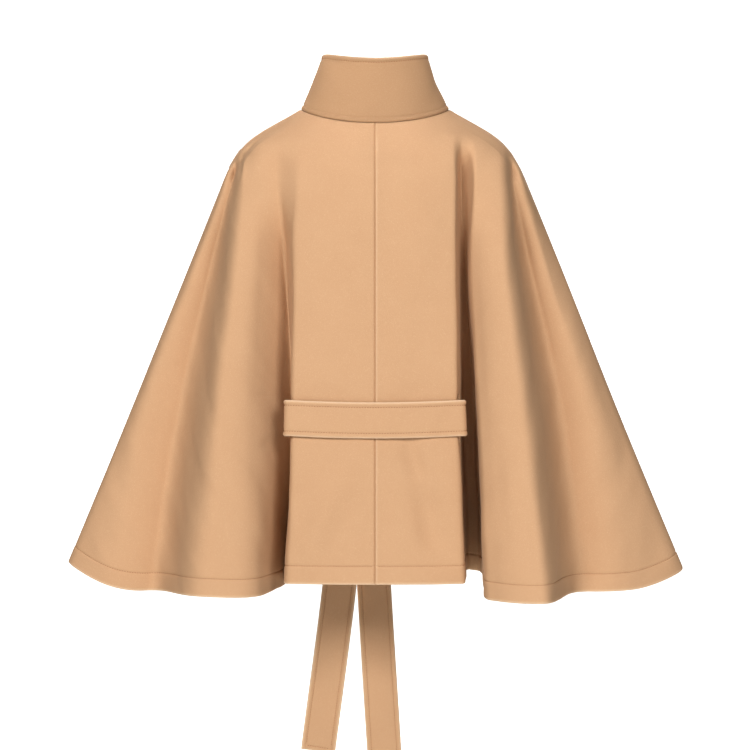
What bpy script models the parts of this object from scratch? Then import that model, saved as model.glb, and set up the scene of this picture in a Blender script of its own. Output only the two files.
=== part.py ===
"""Hip-length cape of felted wool with a standing funnel collar and its own tie belt, filled out as worn.

Metres, +Z up. The wearer's back is towards +Y and the wearer's left is +X. The origin is where the shoulders
hold the cape up: on the centre line, level with the sides of the neck seam.
"""
import math
from collections import namedtuple

import bmesh
import bpy
import numpy as np

# Cloth and making
CLOTH = 0.0024                # one layer of felted wool
BELT_CLOTH = 0.0040           # the belt is two layers, turned and stitched
SEAM_GAP = 0.0003
NECK_TRIM = 0.0009            # the neck edges stop short of the seam, where two walls meet at an angle
EDGE_STEP = 0.03              # a narrow first column keeps a wall's edge square to the next panel
WOOL_ROUGHNESS = 0.9

# Neck seam and collar
NECK_HALF_WIDTH = 0.1030
NECK_BACK = 0.075
NECK_FRONT = 0.080
NECK_SIDE_Z = 0.0065
NECK_BACK_Z = -0.0200
NECK_FRONT_Z = -0.0340
NECK_CURVE = 1.4              # how long the seam stays up at the sides before it drops
COLLAR_HALF_WIDTH = 0.0716
COLLAR_DEPTH = 0.0590
COLLAR_SIDE_Z = 0.0830
COLLAR_CENTRE_Z = 0.0720
COLLAR_WAIST = 0.002          # the band draws in a little above the seam
COLLAR_ROWS = (0.0, 0.03, 0.35, 0.68, 0.97, 1.0)
COLLAR_STATIONS = 19          # from the centre back to the centre front

# Shoulders: the ring below them, and how the cloth leaves the neck and drops from the shoulders
SHOULDER_HALF_WIDTH = 0.2150
SHOULDER_DEPTH = 0.1050
SHOULDER_Z = -0.100
SHOULDER_SQUARENESS = 0.8     # 1 makes the ring an ellipse, less makes it squarer
SIDE_SLOPE = math.radians(31)
BACK_SLOPE = math.radians(55)
SHOULDER_HANDLE = 0.48
SIDE_SPREAD = 0.39            # outward run for each metre of drop, just under the shoulders
BACK_SPREAD = 0.13

# Centre front: the right front laps over the left one
LAP = 0.030
LAP_CLEAR = 0.040             # the over layer is lifted until this far past the centre line
LAP_EASE = 0.035              # and comes down to its own level over this
LAP_LIFT = np.array((0.0, -0.0031, 0.0015))
LAP_HALVINGS = 16             # steps to find a place on the front panel by its distance from the centre line
LAP_STEPS = (0.36, 0.46, 0.57, 0.67)  # fold places before the centre front that carry the easing
LAP_COLUMNS = (0.5, 1.0)

# Belt, its slits, knot and free ends
BELT_WIDTH = 0.049
BELT_Z = -0.4255
BELT_SAG = 0.003
BELT_CLEAR = 0.0010           # keeps the upright belt off the panels' slight lean
BELT_OFF = CLOTH / 2 + BELT_CLEAR + BELT_CLOTH / 2
SLIT_TOP_Z = -0.394
SLIT_BOTTOM_Z = -0.462
SLIT_OPEN = 0.029
BACK_SLIT_FROM_EDGE = 0.026
FRONT_SLIT_FROM_EDGE = 0.020
BACK_BEND_PAST_EDGE = 0.0135  # the belt bends this far past a panel's edge to reach the slit
FRONT_BEND_PAST_EDGE = 0.0160
BEND_EASE = 0.0015            # and eases in by this as it does
BACK_RUN_SHORT = 1.4          # its flat runs stop this many soft shares short of the panels' edges
FRONT_RUN_SHORT = 1.2
BELT_INSIDE_SLIT = 0.022
VALLEY_BACK = (-0.020, -0.006)  # inside, it goes round the valley at these offsets from its bottom
VALLEY_FRONT = (0.018, -0.030)
SIDE_TURN_X = 0.168           # then forward past these two corners
SIDE_TURN_AHEAD = 0.050
FRONT_TURN_X = 0.150
FRONT_TURN_BEHIND = 0.045
BELT_SOFT = (0.0, 0.42, 0.30, 0.40, 0.50, 0.50, 0.38, 0.40, 0.35, 0.0)  # rounding of each of its turns
BELT_JOIN_BACK = 2.45         # the belt's own joins are inside the cape, at these places of its turns
BELT_JOIN_FRONT = 6.5
BELT_STEPS = 6                # points from each turn to the next
KNOT_X = 0.022
KNOT_SIZE = (0.046, 0.028, 0.056)
KNOT_EDGE = 0.009
KNOT_REACH = 0.034            # the belt comes forward and gathers over this much before the knot
KNOT_GATHER = 0.82            # to this share of its width
KNOT_STEPS = (0.0, 0.25, 0.5, 0.75, 0.95, 1.0)
KNOT_EDGE_STEPS = 3
TAIL_TOP_WIDTH = 0.036
TAIL_OPENS = 0.09             # a free end has spread to its full width this far under the knot
TAIL_KNOT_FORWARD = 0.004
TAIL_ROWS = 14

# Fold lines from the centre back round to the centre front, one row each. "around" is the angle at which a
# line leaves the shoulders and "sunk" is how far in it already lies there. Each line then passes its chest,
# belt and hem places. "soft" is the share of the way to its neighbours over which the crease is rounded: 0.5
# leaves no flat.
Fold = namedtuple("Fold", "name around sunk chest_x chest_y belt_x belt_y hem_x hem_y hem_z soft")
LEFT_FOLDS = (
    Fold("centre back", 0.0, 0.000, 0.000, 0.112, 0.000, 0.117, 0.000, 0.118, -0.6512, 0.0),
    Fold("blade", 14.0, 0.000, 0.065, 0.111, 0.066, 0.116, 0.070, 0.117, -0.6512, 0.45),
    Fold("panel edge", 23.8, 0.000, 0.110, 0.104, 0.113, 0.111, 0.122, 0.106, -0.6512, 0.22),
    Fold("valley", 31.0, 0.006, 0.127, 0.068, 0.127, 0.030, 0.126, -0.075, -0.664, 0.22),
    Fold("facet start", 39.6, 0.000, 0.148, 0.086, 0.150, 0.084, 0.152, 0.092, -0.669, 0.45),
    Fold("facet middle", 47.3, 0.000, 0.166, 0.094, 0.180, 0.114, 0.182, 0.121, -0.6695, 0.45),
    Fold("ridge", 56.5, -0.003, 0.187, 0.090, 0.210, 0.108, 0.232, 0.112, -0.667, 0.28),
    Fold("trough", 64.0, 0.012, 0.204, 0.052, 0.235, 0.050, 0.247, 0.046, -0.667, 0.30),
    Fold("swell", 73.5, 0.002, 0.232, 0.077, 0.282, 0.092, 0.308, 0.100, -0.6690, 0.50),
    Fold("outer", 81.0, 0.000, 0.248, 0.034, 0.328, 0.047, 0.377, 0.050, -0.657, 0.50),
    Fold("side", 90.0, 0.000, 0.2545, 0.000, 0.3455, -0.004, 0.4445, -0.006, -0.626, 0.50),
    Fold("front outer", 101.0, 0.000, 0.246, -0.028, 0.326, -0.050, 0.390, -0.066, -0.640, 0.50),
    Fold("front swell", 114.0, 0.000, 0.222, -0.060, 0.275, -0.092, 0.330, -0.118, -0.652, 0.50),
    Fold("front ridge", 134.0, 0.000, 0.182, -0.104, 0.205, -0.138, 0.230, -0.168, -0.660, 0.45),
    Fold("front valley", 149.5, 0.000, 0.140, -0.117, 0.143, -0.096, 0.152, -0.090, -0.652, 0.35),
    Fold("front panel", 157.4, 0.000, 0.105, -0.126, 0.112, -0.127, 0.120, -0.136, -0.650, 0.30),
    Fold("centre front", 180.0, 0.000, 0.000, -0.135, 0.000, -0.133, 0.000, -0.145, -0.650, 0.0),
)
RIGHT_FOLDS = (
    Fold("centre back", 0.0, 0.000, 0.000, 0.112, 0.000, 0.117, 0.000, 0.118, -0.6512, 0.0),
    Fold("blade", 14.0, 0.000, 0.065, 0.111, 0.066, 0.116, 0.070, 0.117, -0.6512, 0.45),
    Fold("panel edge", 24.7, 0.001, 0.110, 0.105, 0.115, 0.111, 0.1245, 0.106, -0.6512, 0.16),
    Fold("valley", 27.5, 0.009, 0.118, 0.050, 0.120, 0.014, 0.130, -0.050, -0.645, 0.25),
    Fold("valley far side", 30.5, 0.010, 0.128, 0.046, 0.143, 0.012, 0.155, -0.050, -0.648, 0.30),
    Fold("facet start", 34.5, 0.004, 0.131, 0.086, 0.141, 0.100, 0.147, 0.134, -0.6695, 0.30),
    Fold("facet middle", 42.0, 0.000, 0.155, 0.100, 0.172, 0.121, 0.190, 0.170, -0.671, 0.45),
    Fold("ridge", 52.0, -0.004, 0.180, 0.108, 0.203, 0.137, 0.231, 0.180, -0.6705, 0.28),
    Fold("wall foot", 59.0, 0.012, 0.205, 0.061, 0.238, 0.077, 0.264, 0.102, -0.669, 0.42),
    Fold("slope", 66.5, 0.006, 0.223, 0.049, 0.282, 0.056, 0.318, 0.071, -0.6675, 0.50),
    Fold("outer", 75.0, 0.000, 0.242, 0.024, 0.324, 0.030, 0.382, 0.032, -0.664, 0.50),
    Fold("side", 90.0, 0.000, 0.2575, 0.000, 0.3490, -0.004, 0.4495, -0.004, -0.637, 0.50),
    Fold("front outer", 101.0, 0.000, 0.246, -0.028, 0.326, -0.050, 0.394, -0.064, -0.642, 0.50),
    Fold("front swell", 116.0, 0.000, 0.220, -0.061, 0.272, -0.094, 0.326, -0.120, -0.652, 0.50),
    Fold("front ridge", 133.0, 0.000, 0.184, -0.103, 0.207, -0.134, 0.224, -0.162, -0.658, 0.45),
    Fold("front valley", 149.5, 0.000, 0.140, -0.117, 0.143, -0.096, 0.150, -0.092, -0.650, 0.35),
    Fold("front panel", 157.4, 0.000, 0.105, -0.126, 0.112, -0.127, 0.120, -0.136, -0.650, 0.30),
    Fold("centre front", 180.0, 0.000, 0.000, -0.135, 0.000, -0.133, 0.000, -0.145, -0.650, 0.0),
)
LEVELS = (0.0, 0.18, 0.592, 1.0)      # under the shoulders, chest, belt and hem, as shares of the drop
NO_FLAT = 0.5
ROUND_CREASE = 0.44                   # creases softer than this have a column on the line itself
ROUND_STEPS = (-1, -0.5, 0, 0.5, 1)   # columns over a crease's rounding, in soft shares
SHARP_STEPS = (-1, -0.33, 0.33, 1)
NEAREST_COLUMNS = 0.6 * EDGE_STEP
DOME_ROWS = 5
DROP_ROWS = (0.06, 0.12, 0.19, 0.30, 0.42, 0.78, 0.90, 1.0)


# ---- Curves
def smooth_through(levels, values, at, start_slope=None):
    """A smooth curve through the values that doesn't swing past them."""
    levels = np.asarray(levels, float)
    values = np.asarray(values, float)
    rises = np.diff(values) / np.diff(levels)
    slopes = np.empty(len(values))
    slopes[0] = rises[0] if start_slope is None else start_slope
    slopes[-1] = rises[-1]
    for i in range(1, len(values) - 1):
        before, after = rises[i - 1], rises[i]
        slopes[i] = 2 * before * after / (before + after) if before * after > 0 else 0.0
    i = min(max(int(np.searchsorted(levels, at) - 1), 0), len(values) - 2)
    step = levels[i + 1] - levels[i]
    t = (at - levels[i]) / step
    return (values[i] * (1 + 2 * t) * (1 - t) ** 2 + slopes[i] * step * t * (1 - t) ** 2
            + values[i + 1] * t * t * (3 - 2 * t) - slopes[i + 1] * step * t * t * (1 - t))


def along(corners, soft, u):
    """The line from corner to corner at u, with each corner rounded over its soft share of both legs."""
    i = min(int(u), len(corners) - 2)
    t = u - i
    a, b = corners[i], corners[i + 1]
    if t < soft[i]:
        corner, share, place = i, soft[i], 0.5 + 0.5 * t / soft[i]
    elif 1 - t < soft[i + 1]:
        corner, share, place = i + 1, soft[i + 1], 0.5 - 0.5 * (1 - t) / soft[i + 1]
    else:
        return a + (b - a) * t
    middle = corners[corner]
    start = middle + (corners[corner - 1] - middle) * share
    end = middle + (corners[corner + 1] - middle) * share
    return start * (1 - place) ** 2 + middle * 2 * place * (1 - place) + end * place ** 2


def unit(vector):
    return vector / np.linalg.norm(vector)


def eased(t):
    """0 up to 1 as t runs from 0 to 1, level at both ends."""
    t = min(max(t, 0.0), 1.0)
    return t * t * (3 - 2 * t)


# ---- The cape's surface: u counts fold lines from the centre back, v runs from -1 at the neck, through 0
# under the shoulders, to 1 at the hem. All of it is worked out on +X and mirrored for the right half.
def neck_point(angle):
    depth = NECK_BACK if math.cos(angle) > 0 else NECK_FRONT
    low = NECK_BACK_Z if math.cos(angle) > 0 else NECK_FRONT_Z
    drop = abs(math.cos(angle)) ** NECK_CURVE
    return np.array((NECK_HALF_WIDTH * math.sin(angle), depth * math.cos(angle),
                     NECK_SIDE_Z + (low - NECK_SIDE_Z) * drop))


def collar_top_point(angle):
    rise = COLLAR_SIDE_Z + (COLLAR_CENTRE_Z - COLLAR_SIDE_Z) * math.cos(angle) ** 2
    return np.array((COLLAR_HALF_WIDTH * math.sin(angle), COLLAR_DEPTH * math.cos(angle), rise))


def shoulder_point(angle):
    across, back = math.sin(angle), math.cos(angle)
    return (SHOULDER_HALF_WIDTH * abs(across) ** SHOULDER_SQUARENESS,
            SHOULDER_DEPTH * math.copysign(abs(back) ** SHOULDER_SQUARENESS, back))


def ring_corners(folds, v):
    """Where the fold lines cross the ring at v, from 0 under the shoulders to 1 at the hem."""
    corners = []
    for fold in folds:
        angle = math.radians(fold.around)
        top_x, top_y = shoulder_point(angle)
        top_y -= fold.sunk * np.sign(top_y)
        drop = SHOULDER_Z - fold.hem_z
        spread_x = SIDE_SPREAD * math.sin(angle) * drop
        spread_y = BACK_SPREAD * math.cos(angle) * drop
        corners.append((smooth_through(LEVELS, (top_x, fold.chest_x, fold.belt_x, fold.hem_x), v, spread_x),
                        smooth_through(LEVELS, (top_y, fold.chest_y, fold.belt_y, fold.hem_y), v, spread_y),
                        SHOULDER_Z - drop * v))
    return np.array(corners)


def cape_point(folds, u, v):
    """A point of the cape. Places past the last fold line are on the lap, which follows the other front."""
    soft = [fold.soft for fold in folds]
    last = len(folds) - 1
    if u > last:
        beyond = (u - last) * LAP
        _, y, z = cape_point(folds, place_across(folds, beyond, v), v)
        return np.array((-beyond, y, z))
    ring = along(ring_corners(folds, max(v, 0.0)), soft, u)
    if v >= 0:
        return ring
    angle = math.radians(along(np.array([fold.around for fold in folds]), soft, u))
    sunk = along(np.array([fold.sunk for fold in folds]), [0.0] + [NO_FLAT] * (last - 1) + [0.0], u)
    across, back = math.sin(angle), math.cos(angle)
    inwards = np.array((0.0, -sunk * np.sign(back), 0.0))
    neck = neck_point(angle)
    ring = ring - inwards
    down = unit(np.array((SIDE_SPREAD * across, BACK_SPREAD * back, -1.0)))
    slope = SIDE_SLOPE + (BACK_SLOPE - SIDE_SLOPE) * back ** 2
    out = np.array((across * math.cos(slope), back * math.cos(slope), -math.sin(slope)))
    handle = SHOULDER_HANDLE * np.linalg.norm(ring - neck)
    t = v + 1
    point = (neck * (1 - t) ** 3 + (neck + out * handle) * 3 * t * (1 - t) ** 2
             + (ring - down * handle) * 3 * t * t * (1 - t) + ring * t ** 3)
    return point + inwards * t ** 4


def place_across(folds, x, v):
    """Where in the front panel the cape is x from the centre line."""
    outer, inner = len(folds) - 2, len(folds) - 1
    for _ in range(LAP_HALVINGS):
        middle = (outer + inner) / 2
        if cape_point(folds, middle, v)[0] > x:
            outer = middle
        else:
            inner = middle
    return (outer + inner) / 2


def lap_share(x):
    """How much of the over layer's lift a point at x has: all of it near the centre front."""
    return eased((LAP_CLEAR + LAP_EASE - x) / LAP_EASE)


def on_side(point, side):
    return np.array((point[0] * side, point[1], point[2]))


# ---- Making pieces
def cloth_material(name, colour, roughness):
    material = bpy.data.materials.new(name)
    material.use_nodes = True
    shader = material.node_tree.nodes["Principled BSDF"]
    shader.inputs["Base Color"].default_value = (*colour, 1.0)
    shader.inputs["Roughness"].default_value = roughness
    return material


def add_piece(name, mesh, colour):
    piece = bpy.data.objects.new(name, mesh)
    mesh.materials.append(cloth_material(name + "_wool", colour, WOOL_ROUGHNESS))
    mesh.shade_smooth()
    cape.objects.link(piece)
    return piece


def add_wall(name, rows, thickness, colour, left_out=()):
    """A cloth piece: an open sheet through rows of points, given its thickness. left_out cells stay open."""
    columns = len(rows[0])
    faces = []
    for i in range(len(rows) - 1):
        for j in range(columns - 1):
            if (i, j) not in left_out:
                corner = i * columns + j
                faces.append((corner, corner + 1, corner + columns + 1, corner + columns))
    used = sorted({corner for face in faces for corner in face})
    place = {corner: number for number, corner in enumerate(used)}
    points = [point for row in rows for point in row]
    mesh = bpy.data.meshes.new(name)
    mesh.from_pydata([tuple(points[corner]) for corner in used], [],
                     [tuple(place[corner] for corner in face) for face in faces])
    piece = add_piece(name, mesh, colour)
    wall = piece.modifiers.new("thickness", "SOLIDIFY")
    wall.thickness = thickness
    wall.offset = 0.0
    wall.use_even_offset = True
    return piece


def trimmed(points, start=0.0, end=0.0):
    """The same run of points with its first and last ones moved in along the run."""
    points = list(points)
    if start:
        points[0] = points[0] + unit(points[1] - points[0]) * start
    if end:
        points[-1] = points[-1] + unit(points[-2] - points[-1]) * end
    return points


def place_of(folds, name):
    return [fold.name for fold in folds].index(name)


def fold_columns(folds, first, last, slit):
    """Column places along u: the seam edges, each crease with its rounding, and both sides of the slit."""
    places = {first, first + EDGE_STEP, last - EDGE_STEP, last}
    for i, fold in enumerate(folds):
        steps = ROUND_STEPS if fold.soft > ROUND_CREASE else SHARP_STEPS
        places |= {i + step * fold.soft for step in steps}
    places |= {len(folds) - 1 - step for step in LAP_STEPS}
    places |= set(slit)
    keep = []
    for place in sorted(place for place in places if first <= place <= last):
        near = keep and place - keep[-1] < NEAREST_COLUMNS
        if near and place in slit:
            keep[-1] = place
        elif not near:
            keep.append(place)
    keep[-1] = last
    return keep


def belt_v(folds):
    """v of the belt's lower edge on the flat panels, where they stand out furthest under it."""
    return (BELT_Z - BELT_WIDTH / 2 - SHOULDER_Z) / (folds[0].hem_z - SHOULDER_Z)


def slit_wall(folds, which):
    """The wall that a slit is cut in: u and plan corner of the panel's edge, and the way to the valley."""
    edge, valley = ("panel edge", "valley") if which == "back" else ("front panel", "front valley")
    corners = ring_corners(folds, belt_v(folds))
    edge_u, valley_u = place_of(folds, edge), place_of(folds, valley)
    return edge_u, corners[edge_u][:2], (corners[valley_u] - corners[edge_u])[:2], valley_u - edge_u


def slit_places(folds, which):
    """u of both sides of a slit, lower one first."""
    edge_u, _, to_valley, way = slit_wall(folds, which)
    middle = BACK_SLIT_FROM_EDGE if which == "back" else FRONT_SLIT_FROM_EDGE
    length = np.linalg.norm(to_valley)
    return sorted(edge_u + way * (middle + half * SLIT_OPEN) / length for half in (-0.5, 0.5))


def add_panel(name, folds, side, which, colour):
    """A back or front half, from its centre edge to the side seam, with its belt slit."""
    side_seam = place_of(folds, "side")
    centre_front = len(folds) - 1
    slit = slit_places(folds, which)
    first, last = (0, side_seam) if which == "back" else (side_seam, centre_front)
    columns = fold_columns(folds, first, last, slit)
    if which == "front":
        columns += [centre_front + column for column in LAP_COLUMNS]
    slit_z = (SLIT_TOP_Z, SLIT_BOTTOM_Z)
    hem_z = folds[int(slit[0])].hem_z
    slit_v = [(z - SHOULDER_Z) / (hem_z - SHOULDER_Z) for z in slit_z]
    heights = [i / DOME_ROWS - 1 for i in range(DOME_ROWS)] + sorted({0.0, *DROP_ROWS, *slit_v})
    over = which == "front" and side < 0
    grid = []
    for u in columns:
        run = [cape_point(folds, u, v) for v in heights]
        if over:
            run = [point + LAP_LIFT * lap_share(point[0]) for point in run]
        grid.append(trimmed(run, start=NECK_TRIM))
    rows = [[grid[j][i] for j in range(len(columns))] for i in range(len(heights))]
    half_gap = SEAM_GAP / 2
    if which == "back":
        rows = [trimmed(row, half_gap, half_gap) for row in rows]
    else:
        rows = [trimmed(row, half_gap) for row in rows]
    left_out = {(i, j) for i in range(heights.index(slit_v[0]), heights.index(slit_v[1]))
                for j in range(columns.index(slit[0]), columns.index(slit[1]))}
    rows = [[on_side(point, side) for point in row] for row in rows]
    return add_wall(name, rows, CLOTH, colour, left_out)


# ---- Collar: one band from the under end on the left, round the back, to the over end on the right
def add_collar(colour):
    half = [(angle, angle) for angle in np.linspace(0, math.pi, COLLAR_STATIONS)]
    half += [(math.pi + math.asin(lap / NECK_HALF_WIDTH), math.pi + math.asin(lap / COLLAR_HALF_WIDTH))
             for lap in (LAP / 2, LAP)]
    stations = [(1, *angles) for angles in reversed(half)] + [(-1, *angles) for angles in half[1:]]
    columns = []
    for side, angle, top_angle in stations:
        bottom = neck_point(angle)
        top = collar_top_point(top_angle)
        inwards = -COLLAR_WAIST * np.array((math.sin(angle), math.cos(angle), 0.0))
        run = [bottom + (top - bottom) * height + inwards * math.sin(math.pi * height)
               for height in COLLAR_ROWS]
        if side < 0 and math.cos(angle) < 0:
            run = [point + LAP_LIFT * lap_share(point[0]) for point in run]
        columns.append([on_side(point, side) for point in trimmed(run, start=NECK_TRIM)])
    rows = [[column[i] for column in columns] for i in range(len(columns[0]))]
    return add_wall("collar", rows, CLOTH, colour)


# ---- Belt
def belt_run(folds, side, first, last):
    """Plan points of the belt where it lies on the outside of a panel, from u first to u last."""
    ends = (first, last)
    columns = [u for u in fold_columns(folds, 0, len(folds) - 1, ends) if first <= u <= last]
    points = []
    for u in columns:
        here = cape_point(folds, u, belt_v(folds))
        ahead = cape_point(folds, min(u + EDGE_STEP, len(folds) - 1), belt_v(folds))
        behind = cape_point(folds, max(u - EDGE_STEP, 0), belt_v(folds))
        way = unit((ahead - behind)[:2])
        point = here[:2] + np.array((-way[1], way[0])) * BELT_OFF
        if side < 0 and point[1] < 0:
            point = point + LAP_LIFT[:2] * lap_share(point[0])
        points.append(point)
    return points


def belt_turns(folds, back, front):
    """Plan corners of the belt from the back panel's edge, in through the back slit and out through the front
    one."""
    _, edge, to_valley, _ = slit_wall(folds, "back")
    slit = edge + unit(to_valley) * BACK_SLIT_FROM_EDGE
    outside = np.array((edge[0] + BACK_BEND_PAST_EDGE, back[-1][1] - BEND_EASE))
    valley = edge + to_valley
    _, front_edge, to_front_valley, _ = slit_wall(folds, "front")
    front_slit = front_edge + unit(to_front_valley) * FRONT_SLIT_FROM_EDGE
    front_outside = np.array((front_edge[0] + FRONT_BEND_PAST_EDGE, front[0][1] + BEND_EASE))
    return np.array((
        back[-1],
        outside,
        slit + unit(slit - outside) * BELT_INSIDE_SLIT,
        valley + VALLEY_BACK,
        valley + VALLEY_FRONT,
        (SIDE_TURN_X, valley[1] - SIDE_TURN_AHEAD),
        (FRONT_TURN_X, front_slit[1] + FRONT_TURN_BEHIND),
        front_slit + unit(front_slit - front_outside) * BELT_INSIDE_SLIT,
        front_outside,
        front[0],
    ))


def stretch(turns, first, last):
    """Plan points from place first to place last. The short end steps let two stretches meet squarely."""
    places = {first + EDGE_STEP, last - EDGE_STEP}
    places |= set(np.linspace(first, last, round((last - first) * BELT_STEPS) + 1))
    return [along(turns, BELT_SOFT, place) for place in sorted(places)]


def add_band(name, plan, side, colour, drop=None, gather=None):
    """A stretch of belt: its plan line, with the belt standing on edge along it."""
    rows = []
    for height in (0.5, 0.0, -0.5):
        row = []
        for point in plan:
            sag = drop(point) if drop else 0.0
            width = BELT_WIDTH * (gather(point) if gather else 1.0)
            row.append(np.array((point[0] * side, point[1], BELT_Z - sag + height * width)))
        rows.append(row)
    return add_wall(name, rows, BELT_CLOTH, colour)


def into_knot(run, knot_side):
    """A front run as far as the knot, coming forward off the panel into its side."""
    start = knot_side + KNOT_REACH
    kept = [point for point in run if point[0] > start or point[0] > run[0][0]]
    flat = [point for point in reversed(run) if point[1] < run[-1][1] + BELT_WIDTH / 4]
    for share in KNOT_STEPS:
        x = start - KNOT_REACH * share
        y = np.interp(x, [point[0] for point in flat], [point[1] for point in flat])
        kept.append(np.array((x, y + (knot_y() - y) * eased(share))))
    return kept


def back_sag(point):
    """The belt dips a little between the two back slits."""
    return BELT_SAG * max(1 - (point[0] / LEFT_FOLDS[place_of(LEFT_FOLDS, "panel edge")].belt_x) ** 2, 0.0)


def add_belt(colour):
    """The belt's stretches: across the back, inside the cape on each side, and across each front."""
    across_back = []
    for side, folds, word in ((1, LEFT_FOLDS, "left"), (-1, RIGHT_FOLDS, "right")):
        panel_edge = place_of(folds, "panel edge")
        front_edge = place_of(folds, "front panel")
        back = belt_run(folds, side, 0, panel_edge - BACK_RUN_SHORT * folds[panel_edge].soft)
        front = belt_run(folds, side, front_edge + FRONT_RUN_SHORT * folds[front_edge].soft, len(folds) - 1)
        turns = belt_turns(folds, back, front)
        outside_back = back + stretch(turns, 0, BELT_JOIN_BACK)[1:]
        inside = stretch(turns, BELT_JOIN_BACK, BELT_JOIN_FRONT)
        outside_front = stretch(turns, BELT_JOIN_FRONT, len(turns) - 1)[:-1] + front
        add_band("belt_side_" + word, trimmed(inside, SEAM_GAP, SEAM_GAP), side, colour)
        knot_side = KNOT_X * side + KNOT_SIZE[0] / 2 + SEAM_GAP
        add_band("belt_front_" + word, into_knot(outside_front, knot_side), side, colour,
                 gather=lambda point: 1 - (1 - KNOT_GATHER) * eased(1 - (point[0] - knot_side) / KNOT_REACH))
        across_back.append([np.array((point[0] * side, point[1])) for point in outside_back])
    left, right = across_back
    add_band("belt_back", left[::-1] + right[1:], 1, colour, drop=back_sag)


def front_y():
    """The over layer at the centre front, level with the belt."""
    return cape_point(RIGHT_FOLDS, len(RIGHT_FOLDS) - 1, belt_v(RIGHT_FOLDS))[1] + LAP_LIFT[1]


def knot_y():
    return front_y() - CLOTH / 2 - SEAM_GAP - KNOT_SIZE[1] / 2


def add_knot(colour):
    """The tied knot, a soft block of cloth that the two front stretches run into."""
    edit = bmesh.new()
    bmesh.ops.create_cube(edit, size=1.0)
    bmesh.ops.scale(edit, vec=KNOT_SIZE, verts=edit.verts)
    mesh = bpy.data.meshes.new("belt_knot")
    edit.to_mesh(mesh)
    edit.free()
    knot = add_piece("belt_knot", mesh, colour)
    knot.location = (KNOT_X, knot_y(), BELT_Z)
    edges = knot.modifiers.new("turned edges", "BEVEL")
    edges.width = KNOT_EDGE
    edges.segments = KNOT_EDGE_STEPS
    return knot


Tail = namedtuple("Tail", "name top_x hem_x end_x end_z slant forward")
TAILS = (
    Tail("belt_tail_left", 0.031, 0.0495, 0.0845, -0.921, 0.006, 0.0),
    Tail("belt_tail_right", 0.013, 0.003, -0.0150, -0.945, -0.006, 0.0052),
)


def add_tail(tail, colour):
    """A free end of the belt, hanging from the knot in front of the cape. The right one is over the left."""
    top_z = BELT_Z - KNOT_SIZE[2] / 2 - SEAM_GAP
    hem_z = RIGHT_FOLDS[-1].hem_z
    hem_y = RIGHT_FOLDS[-1].hem_y + LAP_LIFT[1]
    levels = (tail.end_z, hem_z, top_z)
    off = BELT_OFF + tail.forward
    rows = []
    for z in np.linspace(top_z, tail.end_z, TAIL_ROWS):
        x = smooth_through(levels, (tail.end_x, tail.hem_x, tail.top_x), z)
        y = smooth_through(levels, (hem_y - off, hem_y - off, front_y() - off - TAIL_KNOT_FORWARD), z)
        opened = min((top_z - z) / TAIL_OPENS, 1.0)
        width = TAIL_TOP_WIDTH + (BELT_WIDTH - TAIL_TOP_WIDTH) * opened
        low = 2 * tail.slant * (top_z - z) / (top_z - tail.end_z)
        rows.append([np.array((x + across * width, y, z + low * across)) for across in (-0.5, 0.0, 0.5)])
    return add_wall(tail.name, rows, BELT_CLOTH, colour)


# ---- Build
for thing in list(bpy.data.objects):
    bpy.data.objects.remove(thing)
cape = bpy.data.collections.new("wool_cape")
bpy.context.scene.collection.children.link(cape)

CAMEL = (0.62, 0.37, 0.19)
CAMEL_DEEP = (0.56, 0.33, 0.165)
add_panel("back_left", LEFT_FOLDS, 1, "back", CAMEL)
add_panel("back_right", RIGHT_FOLDS, -1, "back", CAMEL)
add_panel("front_left", LEFT_FOLDS, 1, "front", CAMEL)
add_panel("front_right", RIGHT_FOLDS, -1, "front", CAMEL)
add_collar(CAMEL_DEEP)
add_belt(CAMEL_DEEP)
add_knot(CAMEL_DEEP)
for tail in TAILS:
    add_tail(tail, CAMEL_DEEP)
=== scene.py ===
"""Hip-length cape of felted camel wool with a standing funnel collar and its own tie belt.

It is filled out as it is worn. Metres, +Z up. The wearer's back is towards +Y and the wearer's left is
+X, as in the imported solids.
"""
import math
from collections import namedtuple

import bpy
import numpy as np
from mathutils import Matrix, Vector


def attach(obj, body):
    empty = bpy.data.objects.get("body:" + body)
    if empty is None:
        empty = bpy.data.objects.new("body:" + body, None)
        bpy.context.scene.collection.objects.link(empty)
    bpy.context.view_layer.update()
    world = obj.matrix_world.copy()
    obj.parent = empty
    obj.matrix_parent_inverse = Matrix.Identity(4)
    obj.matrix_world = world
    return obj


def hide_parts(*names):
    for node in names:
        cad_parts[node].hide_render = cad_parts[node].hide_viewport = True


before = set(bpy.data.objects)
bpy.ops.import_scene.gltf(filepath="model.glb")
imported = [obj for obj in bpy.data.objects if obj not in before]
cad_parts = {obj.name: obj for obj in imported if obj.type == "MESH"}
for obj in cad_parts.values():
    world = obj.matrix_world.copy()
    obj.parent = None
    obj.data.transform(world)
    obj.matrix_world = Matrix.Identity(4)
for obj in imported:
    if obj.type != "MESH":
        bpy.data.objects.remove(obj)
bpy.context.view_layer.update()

# ---- Camera and studio
# A rear view at the height of the belt, from three metres away, so that the sides converge only a little.
# The cape floats where a wearer's shoulders would hold it, over a pale floor that sweeps up into a wall.
CAMERA_AWAY = 3.0
CAMERA_Z = -0.367
FRAME_ACROSS = 1.0575        # what the frame spans at the cape
SENSOR_MM = 36.0
camera_data = bpy.data.cameras.new("rear_camera")
camera_data.sensor_width = SENSOR_MM
camera_data.lens = SENSOR_MM * CAMERA_AWAY / FRAME_ACROSS


def new_object(name, data):
    made = bpy.data.objects.new(name, data)
    bpy.context.scene.collection.objects.link(made)
    return made


camera = new_object("rear_camera", camera_data)
camera.location = (0.0, CAMERA_AWAY, CAMERA_Z)
camera.rotation_euler = (math.pi / 2, 0.0, math.pi)
bpy.context.scene.camera = camera
bpy.context.scene.view_settings.view_transform = "Standard"


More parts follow.
